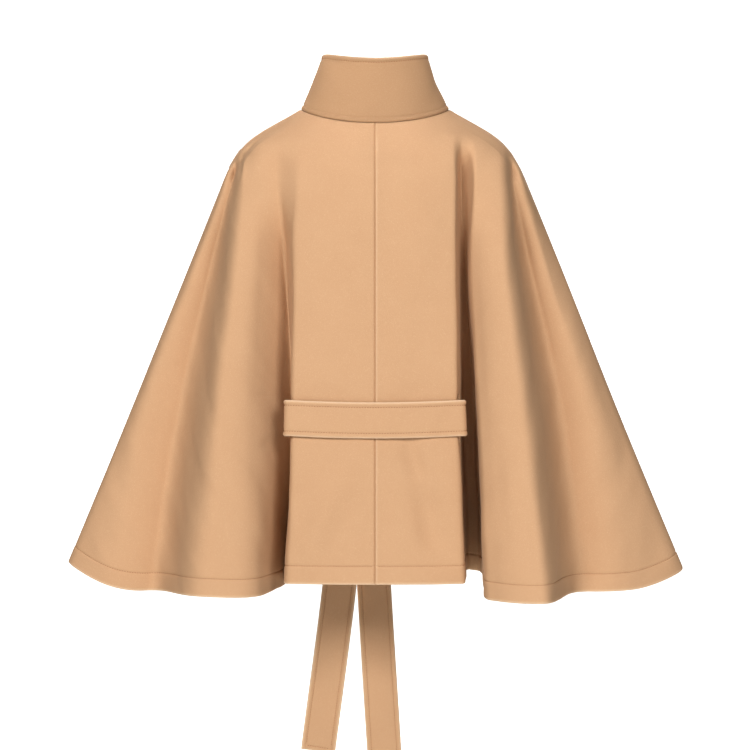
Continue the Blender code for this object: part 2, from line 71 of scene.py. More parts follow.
def linear(hex_colour):
    """An sRGB hex value as linear red, green, blue and alpha."""
    shares = [int(hex_colour[i:i + 2], 16) / 255 for i in (1, 3, 5)]
    return (*[s / 12.92 if s <= 0.04045 else ((s + 0.055) / 1.055) ** 2.4 for s in shares], 1.0)


def soft_light(name, place, aim, across, watts, hex_colour, spread=180):
    """A square diffuser panel, pointed at a place. A honeycomb grid on it narrows its spread, in degrees."""
    data = bpy.data.lights.new(name, "AREA")
    data.size = across
    data.energy = watts
    data.spread = math.radians(spread)
    data.color = linear(hex_colour)[:3]
    light = new_object(name, data)
    light.location = place
    light.rotation_euler = (Vector(aim) - Vector(place)).to_track_quat("-Z", "Y").to_euler()


DAYLIGHT = "#FFFAF4"
WARM_FILL = "#FFF8F0"
CHEST = (0.0, 0.0, -0.35)
BELOW_HEM = (0.0, 0.0, -0.8)
BELOW_NECK = (0.0, 0.0, -0.2)
HONEYCOMB = 12               # degrees that the grids on the two small panels let through
ROOM_LIGHT = 0.05
soft_light("left_panel", (1.40, 3.60, 1.00), CHEST, 1.1, 107, DAYLIGHT)
soft_light("right_panel", (-1.40, 3.60, 0.95), CHEST, 1.1, 76, DAYLIGHT)
soft_light("front_panel", (0.5, -3.2, 0.9), CHEST, 1.8, 40, WARM_FILL)
soft_light("top_panel", (0.3, 0.5, 2.2), CHEST, 1.5, 16, DAYLIGHT)
soft_light("left_low_panel", (1.2, 2.6, -1.25), BELOW_HEM, 0.7, 11, WARM_FILL)
soft_light("right_low_panel", (-1.2, 2.6, -1.25), BELOW_HEM, 0.7, 9, WARM_FILL)
soft_light("left_edge_panel", (1.0, -3.2, 0.3), BELOW_NECK, 0.9, 60, DAYLIGHT)
soft_light("right_edge_panel", (-1.0, -3.2, 0.3), BELOW_NECK, 0.9, 40, DAYLIGHT)
soft_light("left_collar_panel", (1.40, 0.55, 0.95), (0.07, 0.0, 0.095), 0.20, 0.11, DAYLIGHT, HONEYCOMB)
soft_light("right_collar_panel", (-1.40, 0.40, 0.95), (-0.07, 0.0, 0.095), 0.20, 0.05, DAYLIGHT, HONEYCOMB)

world = bpy.data.worlds.new("studio")
world.use_nodes = True
world.node_tree.nodes["Background"].inputs["Color"].default_value = linear("#FFFFFF")
world.node_tree.nodes["Background"].inputs["Strength"].default_value = ROOM_LIGHT
bpy.context.scene.world = world


def add_node(material, kind, settings=(), links=()):
    """A shader node with its settings: attributes by name, sockets by their label, and links into it."""
    made = material.node_tree.nodes.new(kind)
    for name, value in dict(settings).items():
        if name in made.inputs:
            made.inputs[name].default_value = value
        else:
            setattr(made, name, value)
    for name, output in dict(links).items():
        material.node_tree.links.new(output, made.inputs[name])
    return made


def new_material(name):
    material = bpy.data.materials.new(name)
    material.use_nodes = True
    material.node_tree.nodes.clear()
    return material


def finish_material(material, shader):
    output = add_node(material, "ShaderNodeOutputMaterial")
    material.node_tree.links.new(shader.outputs[0], output.inputs["Surface"])
    return material


def painted_paper(name, hex_colour, glow):
    """Matt seamless backdrop paper. The wall's glow stands for lamps that light it from both sides."""
    material = new_material(name)
    shader = add_node(material, "ShaderNodeBsdfPrincipled", {
        "Base Color": linear(hex_colour), "Roughness": 0.9, "Emission Color": linear(hex_colour),
        "Emission Strength": glow})
    return finish_material(material, shader)


def smooth_object(name, points, faces, *materials):
    """A mesh with smooth shading, linked into the scene."""
    mesh = bpy.data.meshes.new(name)
    mesh.from_pydata(points, [], faces)
    mesh.shade_smooth()
    for material in materials:
        mesh.materials.append(material)
    return new_object(name, mesh)


FLOOR_Z = -1.46
FLOOR_NEAR_Y = 4.0
FLOOR_FAR_Y = -2.9
SWEEP_AWAY = 4.6
SWEEP_HALF = 1.77            # a roll of paper 3.55 m wide
SWEEP_ROUND = 1.2
SWEEP_STEPS = 12
WALL_TOP_Z = 4.5
profile = [(FLOOR_NEAR_Y, FLOOR_Z), (FLOOR_FAR_Y, FLOOR_Z)]
for step in range(SWEEP_STEPS + 1):
    turn = math.radians(90 * step / SWEEP_STEPS)
    profile.append((-SWEEP_AWAY + SWEEP_ROUND - SWEEP_ROUND * math.sin(turn),
                    FLOOR_Z + SWEEP_ROUND - SWEEP_ROUND * math.cos(turn)))
profile.append((-SWEEP_AWAY, WALL_TOP_Z))
sweep = smooth_object("studio_sweep", [(x, y, z) for y, z in profile for x in (-SWEEP_HALF, SWEEP_HALF)],
                      [(2 * i, 2 * i + 1, 2 * i + 3, 2 * i + 2) for i in range(len(profile) - 1)],
                      painted_paper("floor_paper", "#D2D2CE", 0.0),
                      painted_paper("wall_paper", "#FAFAF8", 0.85))
for number, face in enumerate(sweep.data.polygons):
    face.material_index = 1 if number > 0 else 0


# ---- Wool cloth
# Thick melton: wool woven, then felted until the weave closes, and brushed. What shows is a soft matt face
# with a short nap that catches light at glancing angles, faint mottling and single paler fibres.
MOTTLE_MM = 46.0       # uneven dyeing and brushing
CLUMP_MM = 3.4         # nap lying in small clumps
FIBRE_MM = 1.1         # real fibres are 0.02 mm thick: drawn coarser, so that they show
NAP_DEPTH = 0.0007
# Name of the point attribute that holds the painted highlight along turned edges
PAINTED_EDGE_HIGHLIGHT = "painted_edge_highlight"


def grain(material, place, size_mm, detail, roughness, distortion=0.0):
    """Unevenness of a real size, from 0 to 1."""
    made = add_node(material, "ShaderNodeTexNoise", {
        "Scale": 1000 / size_mm, "Detail": detail, "Roughness": roughness, "Distortion": distortion},
        {"Vector": place})
    return made.outputs["Fac"]


def share_of(material, value, low, high, most):
    """None where the value is under low, rising to the most that there is where it is over high."""
    made = add_node(material, "ShaderNodeMapRange", {
        "From Min": low, "From Max": high, "To Min": 0.0, "To Max": most}, {"Value": value})
    return made.outputs["Result"]


def felted_wool(name, face_hex, deep_hex, pale_hex, highlight_hex):
    material = new_material(name)
    place = add_node(material, "ShaderNodeTexCoord").outputs["Object"]
    mottle = grain(material, place, MOTTLE_MM, 3.0, 0.55)
    clump = grain(material, place, CLUMP_MM, 2.0, 0.6)
    fibre = grain(material, place, FIBRE_MM, 2.0, 0.7, 0.6)
    dyed = add_node(material, "ShaderNodeMixRGB", {"Color1": linear(face_hex), "Color2": linear(deep_hex)},
                    {"Fac": share_of(material, mottle, 0.32, 0.68, 0.22)})
    napped = add_node(material, "ShaderNodeMixRGB", {"Color2": linear(pale_hex)},
                      {"Fac": share_of(material, fibre, 0.52, 0.78, 0.42), "Color1": dyed.outputs["Color"]})
    clump_bump = add_node(material, "ShaderNodeBump", {"Strength": 0.35, "Distance": NAP_DEPTH},
                          {"Height": clump})
    fibre_bump = add_node(material, "ShaderNodeBump", {"Strength": 0.45, "Distance": NAP_DEPTH * 0.5},
                          {"Height": fibre, "Normal": clump_bump.outputs["Normal"]})
    # Along turned edges a paler colour is painted in as a highlight, for the light that the rolled edges
    # catch. Each piece carries how near its points lie.
    highlight_share = add_node(material, "ShaderNodeAttribute", {"attribute_name": PAINTED_EDGE_HIGHLIGHT})
    highlighted = add_node(material, "ShaderNodeMixRGB", {"Color2": linear(highlight_hex)},
                     {"Fac": highlight_share.outputs["Fac"], "Color1": napped.outputs["Color"]})
    shader = add_node(material, "ShaderNodeBsdfPrincipled", {
        "Roughness": 0.94, "Specular IOR Level": 0.18, "Sheen Weight": 0.20, "Sheen Roughness": 0.3,
        "Sheen Tint": linear("#FFE2C4")},
        {"Base Color": highlighted.outputs["Color"], "Normal": fibre_bump.outputs["Normal"]})
    return finish_material(material, shader)


# The last colour of each wool is the paler highlight that is painted along its turned edges
body_wool = felted_wool("camel_melton", "#BE9876", "#B68E6C", "#D8BA9A", "#F0D9BC")
# The collar's copy of the wool is painted about a quarter darker: painted shade, for the collar showing
# darker than the body
collar_wool_painted_shade = felted_wool("camel_melton_collar_painted_shade", "#A68363", "#9E7B5B", "#BFA081", "#E4CBAE")
belt_wool = felted_wool("camel_melton_belt", "#BE9876", "#B68E6C", "#D8BA9A", "#F0D9BC")


TWISTS_PER_METRE = 900.0
TWIST_DEPTH = 0.0002


def spun_thread(name, hex_colour):
    """Spun polyester sewing thread: a fine dull twist."""
    material = new_material(name)
    place = add_node(material, "ShaderNodeTexCoord").outputs["Object"]
    twist = add_node(material, "ShaderNodeTexWave", {"Scale": TWISTS_PER_METRE, "Distortion": 1.0},
                     {"Vector": place})
    bump = add_node(material, "ShaderNodeBump", {"Strength": 0.4, "Distance": TWIST_DEPTH},
                    {"Height": twist.outputs["Fac"]})
    shader = add_node(material, "ShaderNodeBsdfPrincipled", {
        "Base Color": linear(hex_colour), "Roughness": 0.7, "Specular IOR Level": 0.3},
        {"Normal": bump.outputs["Normal"]})
    return finish_material(material, shader)


thread = spun_thread("spun_thread", "#8F5F38")


# ---- Shape of the cloth
# The cape hangs in vertical folds from the shoulders. Each fold line has a row in the tables: the angle at
# which it leaves the shoulders, how far in it already lies there, its chest, belt and hem places, and how
# soft its crease is.
CLOTH = 0.0024
NECK_HALF_WIDTH = 0.1030
NECK_BACK = 0.075
NECK_FRONT = 0.080
NECK_SIDE_Z = 0.0065
NECK_BACK_Z = -0.0200
NECK_FRONT_Z = -0.0340
SHOULDER_HALF_WIDTH = 0.2150
SHOULDER_DEPTH = 0.1050
SHOULDER_Z = -0.100
SHOULDER_SQUARENESS = 0.8
SIDE_SLOPE = math.radians(31)
BACK_SLOPE = math.radians(55)
NECK_DIP_POWER = 1.4         # how far round the neck seam's dips reach
NECK_RISE = math.radians(24)   # the cloth stands up steeply where it meets the collar's middle
NECK_RISE_POWER = 14
SHOULDER_HANDLE = 0.48
SIDE_SPREAD = 0.39
BACK_SPREAD = 0.13
LAP = 0.030
LAP_CLEAR = 0.040
LAP_EASE = 0.035
LAP_LIFT = np.array((0.0, -0.0031, 0.0015))
LAP_SAMPLES = 81
LEVELS = (0.0, 0.18, 0.592, 1.0)
FOLD_TOP_Z = -0.034          # where the folds die out on the shoulders
FOLD_FULL_Z = -0.099
UPRIGHT_TO_X = 0.190         # folds this near the centre run straight up
UPRIGHT_EASE = 0.018

Fold = namedtuple("Fold", "name around sunk chest_x chest_y belt_x belt_y hem_x hem_y hem_z soft")
# Names, angles in degrees, places in millimetres, and how soft the crease is.
CENTRE_BACK_ROWS = (
    ("centre back", 0.0, 0, 0, 112, 0, 117, 0, 118, -651.2, 0.0),
    ("blade", 14.0, 0, 65, 111, 66, 116, 70, 117, -651.2, 0.45),
)
CENTRE_FRONT_ROWS = (
    ("front panel", 157.4, 0, 105, -126, 112, -127, 120, -136, -650, 0.30),
    ("centre front", 180.0, 0, 0, -135, 0, -133, 0, -145, -650, 0.0),
)
LEFT_ROWS = (
    *CENTRE_BACK_ROWS,
    ("panel edge", 23.8, 0, 110, 104, 113.5, 111, 122.5, 106, -651.2, 0.13),
    ("valley", 33.0, 14, 124, 54, 111, 12, 121, -75, -664, 0.22),
    ("facet start", 39.6, 6, 148, 80, 150, 85, 152, 92, -669, 0.45),
    ("facet middle", 47.3, 0, 166, 94, 180, 114, 182, 121, -669.5, 0.45),
    ("ridge", 56.5, -4, 195, 95, 225, 119, 254, 121, -666.5, 0.38),
    ("wall foot", 63.5, 26, 222, 12, 268, 4, 301, 4, -669.5, 0.46),
    ("slope", 73.5, 4, 239, 22, 304, 20, 343, 28, -669.5, 0.50),
    ("outer", 81.0, 0, 249, 20, 333, 24, 388, 28, -657, 0.50),
    ("side", 90.0, 0, 254.5, 0, 345.5, -4, 444.5, -6, -626, 0.44),
    ("front outer", 101.0, 0, 246, -28, 326, -50, 390, -66, -640, 0.50),
    ("front swell", 114.0, 0, 222, -60, 275, -92, 330, -118, -652, 0.50),
    ("front ridge", 134.0, 0, 182, -104, 205, -138, 230, -168, -660, 0.45),
    ("front valley", 149.5, 0, 140, -117, 143, -96, 152, -90, -652, 0.35),
    *CENTRE_FRONT_ROWS,
)
RIGHT_ROWS = (
    *CENTRE_BACK_ROWS,
    ("panel edge", 25.3, 1, 108.5, 105, 112.8, 111, 122.2, 106, -651.2, 0.08),
    ("valley", 28.2, 44, 118, 50, 120, 14, 130, -50, -645, 0.25),
    ("valley far side", 31.0, 34, 128, 46, 143, 12, 155, -50, -648, 0.30),
    ("facet start", 34.5, 4, 131, 87, 141, 104, 148.5, 136, -669.5, 0.18),
    ("facet middle", 42.0, 0, 152, 106, 167, 132, 188, 175, -671, 0.50),
    ("ridge", 52.0, -6, 183, 113, 213, 144, 236, 186, -670.5, 0.38),
    ("wall foot", 58.0, 26, 208, 14, 252, 10, 272, 32, -669, 0.46),
    ("slope", 66.5, 6, 230, 36, 294, 38, 334, 52, -667.5, 0.50),
    ("outer", 75.0, 0, 242, 24, 324, 30, 382, 32, -664, 0.50),
    ("side", 90.0, 0, 257.5, 0, 349, -4, 449.5, -4, -637, 0.50),
    ("front outer", 101.0, 0, 246, -28, 326, -50, 394, -64, -642, 0.50),
    ("front swell", 116.0, 0, 220, -61, 272, -94, 326, -120, -652, 0.50),
    ("front ridge", 133.0, 0, 184, -103, 207, -134, 224, -162, -658, 0.45),
    ("front valley", 149.5, 0, 140, -117, 143, -96, 150, -92, -650, 0.35),
    *CENTRE_FRONT_ROWS,
)
LEFT_FOLDS, RIGHT_FOLDS = ([Fold(name, around, *(place / 1000 for place in places), soft)
                            for name, around, *places, soft in rows] for rows in (LEFT_ROWS, RIGHT_ROWS))


def smooth_through(levels, values, at, start_slope=None):
    """A smooth curve through the values that doesn't swing past them, read at an array of places."""
    levels = np.asarray(levels, float)
    values = np.asarray(values, float)
    rises = np.diff(values) / np.diff(levels)
    slopes = np.empty(len(values))
    slopes[0] = rises[0] if start_slope is None else start_slope
    slopes[-1] = rises[-1]
    for i in range(1, len(values) - 1):
        before, after = rises[i - 1], rises[i]
        slopes[i] = 2 * before * after / (before + after) if before * after > 0 else 0.0
    i = np.clip(np.searchsorted(levels, at) - 1, 0, len(values) - 2)
    step = levels[i + 1] - levels[i]
    t = (at - levels[i]) / step
    return (values[i] * (1 + 2 * t) * (1 - t) ** 2 + slopes[i] * step * t * (1 - t) ** 2
            + values[i + 1] * t * t * (3 - 2 * t) - slopes[i + 1] * step * t * t * (1 - t))


def crease_shares(soft, places):
    """How much each place along a line of corners takes from each corner, with the corners rounded."""
    shares = np.zeros((len(places), len(soft)))
    for row, place in zip(shares, places):
        i = min(int(place), len(soft) - 2)
        t = place - i
        if t < soft[i]:
            corner, share, way = i, soft[i], 0.5 + 0.5 * t / soft[i]
        elif 1 - t < soft[i + 1]:
            corner, share, way = i + 1, soft[i + 1], 0.5 - 0.5 * (1 - t) / soft[i + 1]
        else:
            row[i] = 1 - t
            row[i + 1] = t
            continue
        start, middle, end = (1 - way) ** 2, 2 * way * (1 - way), way ** 2
        row[corner] = start * (1 - share) + middle + end * (1 - share)
        row[corner - 1] = start * share
        row[corner + 1] = end * share
    return shares


def eased(t):
    """0 up to 1 as t runs from 0 to 1, level at both ends."""
    t = np.clip(t, 0.0, 1.0)
    return t * t * (3 - 2 * t)


def xyz(*parts):
    """Points, or plan points, from their coordinates."""
    return np.stack(parts, axis=-1)


def neck_ring(angles):
    back = np.cos(angles)
    depth = np.where(back > 0, NECK_BACK, NECK_FRONT)
    low = np.where(back > 0, NECK_BACK_Z, NECK_FRONT_Z)
    return xyz(NECK_HALF_WIDTH * np.sin(angles), depth * back,
               NECK_SIDE_Z + (low - NECK_SIDE_Z) * np.abs(back) ** NECK_DIP_POWER)


def length_of(vectors):
    return np.linalg.norm(vectors, axis=-1, keepdims=True)


def fold_line(fold, below):
    """Where a fold line lies at the ring under the shoulders, and further down: ring x and y, then x and y
    at the shares of its length in below."""
    angle = math.radians(fold.around)
    across, back = math.sin(angle), math.cos(angle)
    top_x = SHOULDER_HALF_WIDTH * abs(across) ** SHOULDER_SQUARENESS
    top_y = SHOULDER_DEPTH * math.copysign(abs(back) ** SHOULDER_SQUARENESS, back)
    top_y = top_y - fold.sunk * np.sign(back)
    x = smooth_through(LEVELS, (top_x, fold.chest_x, fold.belt_x, fold.hem_x), below)
    y = smooth_through(LEVELS, (top_y, fold.chest_y, fold.belt_y, fold.hem_y), below,
                       BACK_SPREAD * back * (SHOULDER_Z - fold.hem_z))
    return top_x, top_y, x, y


def cape_sheet(folds, places, heights):
    """The cape's middle surface on +X, rows by columns. places count fold lines from the centre back, and
    heights run from -1 at the neck, through 0 under the shoulders, to 1 at the hem."""
    last = len(folds) - 1
    soft = [fold.soft for fold in folds]
    shares = crease_shares(soft, np.minimum(places, last))
    below = np.maximum(heights, 0.0)
    sheet = np.zeros((*heights.shape, 3))
    ring = np.zeros((len(places), 3))
    for number, fold in enumerate(folds):
        top_x, top_y, x, y = fold_line(fold, below)
        share = shares[:, number]
        z = SHOULDER_Z - (SHOULDER_Z - fold.hem_z) * below
        sheet += share[None, :, None] * xyz(x, y, z)
        ring += share[:, None] * np.array((top_x, top_y, SHOULDER_Z))
    angles = np.radians(shares @ np.array([fold.around for fold in folds]))
    across, back = np.sin(angles), np.cos(angles)
    # The folds run straight up into the shoulders and die out there, so above the ring they are found by
    # their distance from the centre. Out at the side, where the ring turns, they keep to their own columns.
    along = 1 - np.minimum(np.abs(ring[:, 0]) / SHOULDER_HALF_WIDTH, 1.0) ** (2 / SHOULDER_SQUARENESS)
    plain = SHOULDER_DEPTH * np.sign(back) * along ** (SHOULDER_SQUARENESS / 2)
    straight = eased((UPRIGHT_TO_X + UPRIGHT_EASE - ring[:, 0]) / UPRIGHT_EASE)
    folded = (ring[:, 1] - plain) * straight
    foot = ring - xyz(0 * folded, folded, 0 * folded)
    neck = neck_ring(angles)
    down = xyz(SIDE_SPREAD * across, BACK_SPREAD * back, 0 * across - 1.0)
    down /= length_of(down)
    slope = SIDE_SLOPE + (BACK_SLOPE - SIDE_SLOPE) * back ** 2 + NECK_RISE * back ** NECK_RISE_POWER
    out = xyz(across * np.cos(slope), back * np.cos(slope), -np.sin(slope))
    handle = SHOULDER_HANDLE * length_of(foot - neck)
    t = (heights + 1)[:, :, None]
    dome = (neck * (1 - t) ** 3 + (neck + out * handle) * 3 * t * (1 - t) ** 2
            + (foot - down * handle) * 3 * t * t * (1 - t) + foot * t ** 3)
    for half in (back > 0, back <= 0):
        if half.any():
            order = np.nonzero(half)[0][np.argsort(ring[half, 0])]
            found = np.interp(dome[:, half, 0], ring[order, 0], folded[order])
            dome[:, half, 1] += found * eased((FOLD_TOP_Z - dome[:, half, 2]) / (FOLD_TOP_Z - FOLD_FULL_Z))
    sheet = np.where((heights < 0)[:, :, None], dome, sheet)
    lapped = [number for number, place in enumerate(places) if place > last]
    if lapped:
        # The lap follows the other front, which mirrors this one.
        near = np.linspace(last - 1, last, LAP_SAMPLES)
        other = cape_sheet(folds, near, np.repeat(heights[:, -1:], len(near), axis=1))
        for number in lapped:
            beyond = (places[number] - last) * LAP
            for row in range(len(sheet)):
                order = other[row, ::-1]
                sheet[row, number] = (-beyond, np.interp(beyond, order[:, 0], order[:, 1]),
                                      np.interp(beyond, order[:, 0], order[:, 2]))
    return sheet


def facing(sheet):
    """Unit vectors square to a grid of points, on the side that its rows and columns face."""
    down = np.gradient(sheet, axis=0)
    along = np.gradient(sheet, axis=1)
    square = np.cross(down, along)
    return square / np.maximum(length_of(square), 1e-12)


def place_of(folds, name):
    return [fold.name for fold in folds].index(name)


# ---- Back and fronts
# Four pieces of melton, sewn at the centre back and at the sides. The hem is turned up 25 mm and sewn
# through with one row of stitches, and each piece has an upright slit for the belt, beside its flat part.
HEM = 0.025
HEM_EXTRA = 0.0019           # the turned-up layer, pressed flat
GRID = 0.0042                # size of the mesh's cells
SLIT_TOP_Z = -0.394
SLIT_BOTTOM_Z = -0.462
BACK_SLIT_OPEN = 0.026       # the belt goes through the back's slits more slantingly than the front's
FRONT_SLIT_OPEN = 0.012
BACK_SLIT_FROM_EDGE = 0.026
FRONT_SLIT_FROM_EDGE = 0.0208
BELT_Z = -0.4255
BELT_WIDTH = 0.049
SEAM_GAP = 0.0003


def belt_height(folds):
    return (BELT_Z - BELT_WIDTH / 2 - SHOULDER_Z) / (folds[0].hem_z - SHOULDER_Z)


def slit_wall(folds, which):
    """The wall that a slit is cut in, level with the belt's lower edge: place and plan corner of the panel's
    edge, and the way to the valley, in plan and in places."""
    edge, valley = ("panel edge", "valley") if which == "back" else ("front panel", "front valley")
    start, end = place_of(folds, edge), place_of(folds, valley)
    height = np.array(belt_height(folds))
    corner, low = (np.array(fold_line(folds[place], height)[2:], float) for place in (start, end))
    return start, corner, low - corner, end - start


def slit_places(folds, which):
    edge_place, _, to_valley, way = slit_wall(folds, which)
    middle, wide = ((BACK_SLIT_FROM_EDGE, BACK_SLIT_OPEN) if which == "back"
                    else (FRONT_SLIT_FROM_EDGE, FRONT_SLIT_OPEN))
    length = float(np.linalg.norm(to_valley))
    return sorted(edge_place + way * (middle + half * wide) / length for half in (-0.5, 0.5))


RING_HEIGHTS = np.array((0.0, 0.3, 0.6, 1.0))[:, None]
RING_SAMPLES = 1601
SLIT_STEPS_MM = (2, 0.8)                             # columns beside a slit
SEAM_STEPS = (0.0005, 0.0012, 0.0021, 0.0032)        # columns beside a seam
LAP_STEPS = (0.14, 0.28, 0.42, 0.56, 0.70, 0.80, 0.87, 0.92, 0.96, 0.985, 1.0)
LEAST_STEP_MM = 0.25


def thinned(values, least, fixed):
    """The values in order, without those less than the least step after another. Fixed ones stay."""
    kept = []
    for value in sorted(values):
        if not kept or value - kept[-1] >= least:
            kept.append(value)
        elif value in fixed:
            kept[-1] = value
    return kept


def column_places(folds, first, last, slit):
    """Places of the mesh's columns: even along the widest ring, closer at the seams and at the slit."""
    fine = np.linspace(first, min(last, len(folds) - 1), RING_SAMPLES)
    rings = cape_sheet(folds, fine, np.repeat(RING_HEIGHTS, len(fine), axis=1))
    steps = length_of(np.diff(rings, axis=1))[:, :, 0].max(axis=0)
    run = np.concatenate(((0.0,), np.cumsum(steps)))
    count = int(run[-1] / GRID)
    places = list(np.interp(np.linspace(0, run[-1], count + 1), run, fine))
    mm = 0.001 * np.interp(slit[0], fine[1:], np.diff(fine) / steps)
    places += [*slit, *(slit[0] - step * mm for step in SLIT_STEPS_MM)]
    places += [slit[1] + step * mm for step in SLIT_STEPS_MM]
    for away in SEAM_STEPS:
        places += [np.interp(away, run, fine), np.interp(run[-1] - away, run, fine)]
    if last > len(folds) - 1:
        places += list(len(folds) - 1 + np.array(LAP_STEPS))
    return np.array(thinned(places, LEAST_STEP_MM * mm, {first, last, *slit}))


SHOULDER_ROWS = 44
BODY_ROWS = 120
EVEN_TO = 0.9                # height down to which the rows are level
NECK_ROWS = (-1 + 0.006, -1 + 0.013)
SLIT_ROW = 0.002
LEAST_ROW = 0.0012
HEM_NEAR = 0.97
TO_HEM_ROWS = 8
HEM_FLAT_ROWS = 5
HEM_APPROACH = 0.004         # the level rows end this far above the stitches
HEM_FLAT = 0.0045            # what the flat rows leave free at the stitches and at the end
STITCH_ROWS = (0.0026, 0.0015, 0.0007, 0.0, -0.0007, -0.0015, -0.0026)   # from the hem's stitches
HEM_FOLD_ROWS = (0.0028, 0.0016, 0.0008, 0.0003, 0.0)                    # from the hem's end


def sheet_rows(folds, places, slit_heights):
    """Heights of the mesh's rows, column by column: even down the cape, closer at the hem's stitches and
    fold. Also the number of the row that the stitches lie on."""
    upper = [*np.linspace(-1, 0, SHOULDER_ROWS), *np.linspace(0, EVEN_TO, BODY_ROWS), *slit_heights]
    upper += [*NECK_ROWS, slit_heights[0] - SLIT_ROW, slit_heights[1] + SLIT_ROW]
    upper = thinned(upper, LEAST_ROW, slit_heights)
    ends = cape_sheet(folds, places, np.repeat(np.array((HEM_NEAR, 1.0))[:, None], len(places), axis=1))
    per_height = length_of(ends[1] - ends[0])[:, 0] / (1 - HEM_NEAR)
    rest = (1 - EVEN_TO) * per_height
    away = [rest * (1 - t) + (HEM + HEM_APPROACH) * t for t in np.linspace(0, 1, TO_HEM_ROWS + 1)[1:]]
    away += [0 * rest + HEM + near for near in STITCH_ROWS]
    away += [0 * rest + flat for flat in np.linspace(HEM - HEM_FLAT, HEM_FLAT, HEM_FLAT_ROWS)]
    away += [0 * rest + near for near in HEM_FOLD_ROWS]
    rows = [np.full(len(places), height) for height in upper] + [1 - value / per_height for value in away]
    return np.array(rows), len(upper) + TO_HEM_ROWS + STITCH_ROWS.index(0.0)


MOST_LEAN = 0.3
CLOTH_WAVES = ((170, 400, 0.0012), (95, 260, 0.0007), (55, 170, 0.00035), (31, 80, 0.00015))


def ripple(along, down, seed):
    """Slow unevenness of thick cloth that hangs: a few long waves, mostly upright. along and down are
    distances on the cloth."""
    chance = np.random.default_rng(seed)
    total = np.zeros(along.shape)
    for across_mm, up_mm, depth in CLOTH_WAVES:
        phase = chance.uniform(0, 2 * math.pi, 2)
        lean = chance.uniform(-MOST_LEAN, MOST_LEAN)
        total += depth * (np.sin(2000 * math.pi * (along + lean * down) / across_mm + phase[0])
                          * np.sin(2000 * math.pi * down / up_mm + phase[1]))
    return total


def hump(away, height, half, centre=0.0):
    """A smooth rise to a height at its centre."""
    return height * np.exp(-((away - centre) / half) ** 2)


CREASE_HOLD = 1.15           # a crease is full in its middle and runs out towards its ends
CREASE_RUN_OUT = 1.6


def creased(sheet, creases):
    """Soft troughs, or ridges where the depth is below zero, along short lines as seen from behind."""
    total = np.zeros(sheet.shape[:2])
    for from_x, from_z, to_x, to_z, width, depth in np.array(creases) / 1000:
        start = np.array((from_x, from_z))
        way = np.array((to_x, to_z)) - start
        offset = sheet[:, :, (0, 2)] - start
        t = (offset @ way) / (way @ way)
        nearest = np.clip(t, 0, 1)[:, :, None] * way
        away = np.linalg.norm(offset - nearest, axis=-1)
        fade = eased(CREASE_HOLD - np.abs(np.clip(t, 0, 1) - 0.5) * CREASE_RUN_OUT)
        total -= hump(away, depth * fade, width)
    return total


def from_edge(sheet, axis, end):
    """How far each point of a grid lies from one of its edges, along the cloth."""
    steps = length_of(np.diff(sheet, axis=axis))[:, :, 0]
    run = np.cumsum(steps, axis=axis)
    run = np.concatenate((np.zeros_like(np.take(run, [0], axis=axis)), run), axis=axis)
    return run if end == 0 else np.take(run, [-1], axis=axis) - run


EDGE_RADIUS = 0.0022
EDGE_FULLNESS = 0.96
EDGE_DROP = 0.75
# Humps: height, half width, and where the middle lies if it isn't at the edge.
SEAM_TROUGH = (0.0020, 0.0012)
SEAM_SWELL = (0.00022, 0.0024, 0.0045)       # the allowances behind a seam push the cloth out beside it
STITCH_DIP = (0.0009, 0.0013, HEM)


def turned_edge(away):
    """How far the face of a folded edge drops back, at a distance from its end."""
    t = np.clip(1 - away / EDGE_RADIUS, 0, 1)
    return EDGE_RADIUS * (1 - np.sqrt(1 - EDGE_FULLNESS * t * t)) * EDGE_DROP


def seam_dip(away):
    return hump(away, *SEAM_TROUGH) - hump(away, *SEAM_SWELL)


def paint_edge_highlights(mesh, shares):
    """Stores at each point how much of the paler painted edge highlight shows, from 0 to 1."""
    held = mesh.attributes.new(PAINTED_EDGE_HIGHLIGHT, "FLOAT", "POINT")
    held.data.foreach_set("value", np.asarray(shares, np.float32))


def grid_cells(rows, columns):
    """The numbers of a grid's points, and the four corners of each of its cells."""
    numbers = np.arange(rows * columns).reshape(rows, columns)
    corners = (numbers[:-1, :-1], numbers[1:, :-1], numbers[1:, 1:], numbers[:-1, 1:])
    return numbers, np.stack(corners, axis=-1)


def grid_piece(name, sheet, side, thick, highlight_share, weights, open_cells):
    """A piece of the body from its outer face, a grid of points on +X, mirrored for the right and given its
    thickness inwards."""
    numbers, cells = grid_cells(*sheet.shape[:2])
    if side > 0:
        cells = cells[:, :, ::-1]
    faces = cells[~open_cells]
    used = np.zeros(numbers.size, bool)
    used[faces.ravel()] = True
    place = np.cumsum(used) - 1
    points = sheet.reshape(-1, 3)[used] * np.array((side, 1.0, 1.0))
    piece = smooth_object(name, points.tolist(), place[faces].tolist(), body_wool)
    paint_edge_highlights(piece.data, highlight_share.reshape(-1)[used])
    wall = piece.modifiers.new("thickness", "SOLIDIFY")
    wall.thickness = thick
    wall.offset = -1.0
    wall.use_even_offset = False
    group = piece.vertex_groups.new(name="thickness")
    flat = np.round(weights.reshape(-1)[used], 2)
    for value in np.unique(flat):
        group.add(np.nonzero(flat == value)[0].tolist(), float(value), "REPLACE")
    wall.vertex_group = "thickness"
    wall.thickness_vertex_group = 0.0
    return piece


def run_along(line):
    """How far each point of a line lies along it."""
    return np.concatenate(((0.0,), np.cumsum(length_of(np.diff(line, axis=0))[:, 0])))


def read_along(run, line, at):
    """The line, read at distances along it."""
    return np.stack([np.interp(at, run, values) for values in line.T], axis=-1)


STITCH_PITCH = 0.0036
STITCH_LENGTH = 0.0027
STITCH_HALF = 0.00033
STITCH_STATIONS = np.array((0.0, 0.22, 0.5, 0.78, 1.0))
STITCH_RISES = (-0.0004, 0.0001, 0.00025, 0.0001, -0.0004)
STITCH_SIZES = (0.5, 0.9, 1.0, 0.9, 0.5)
STITCH_SIDES = 5


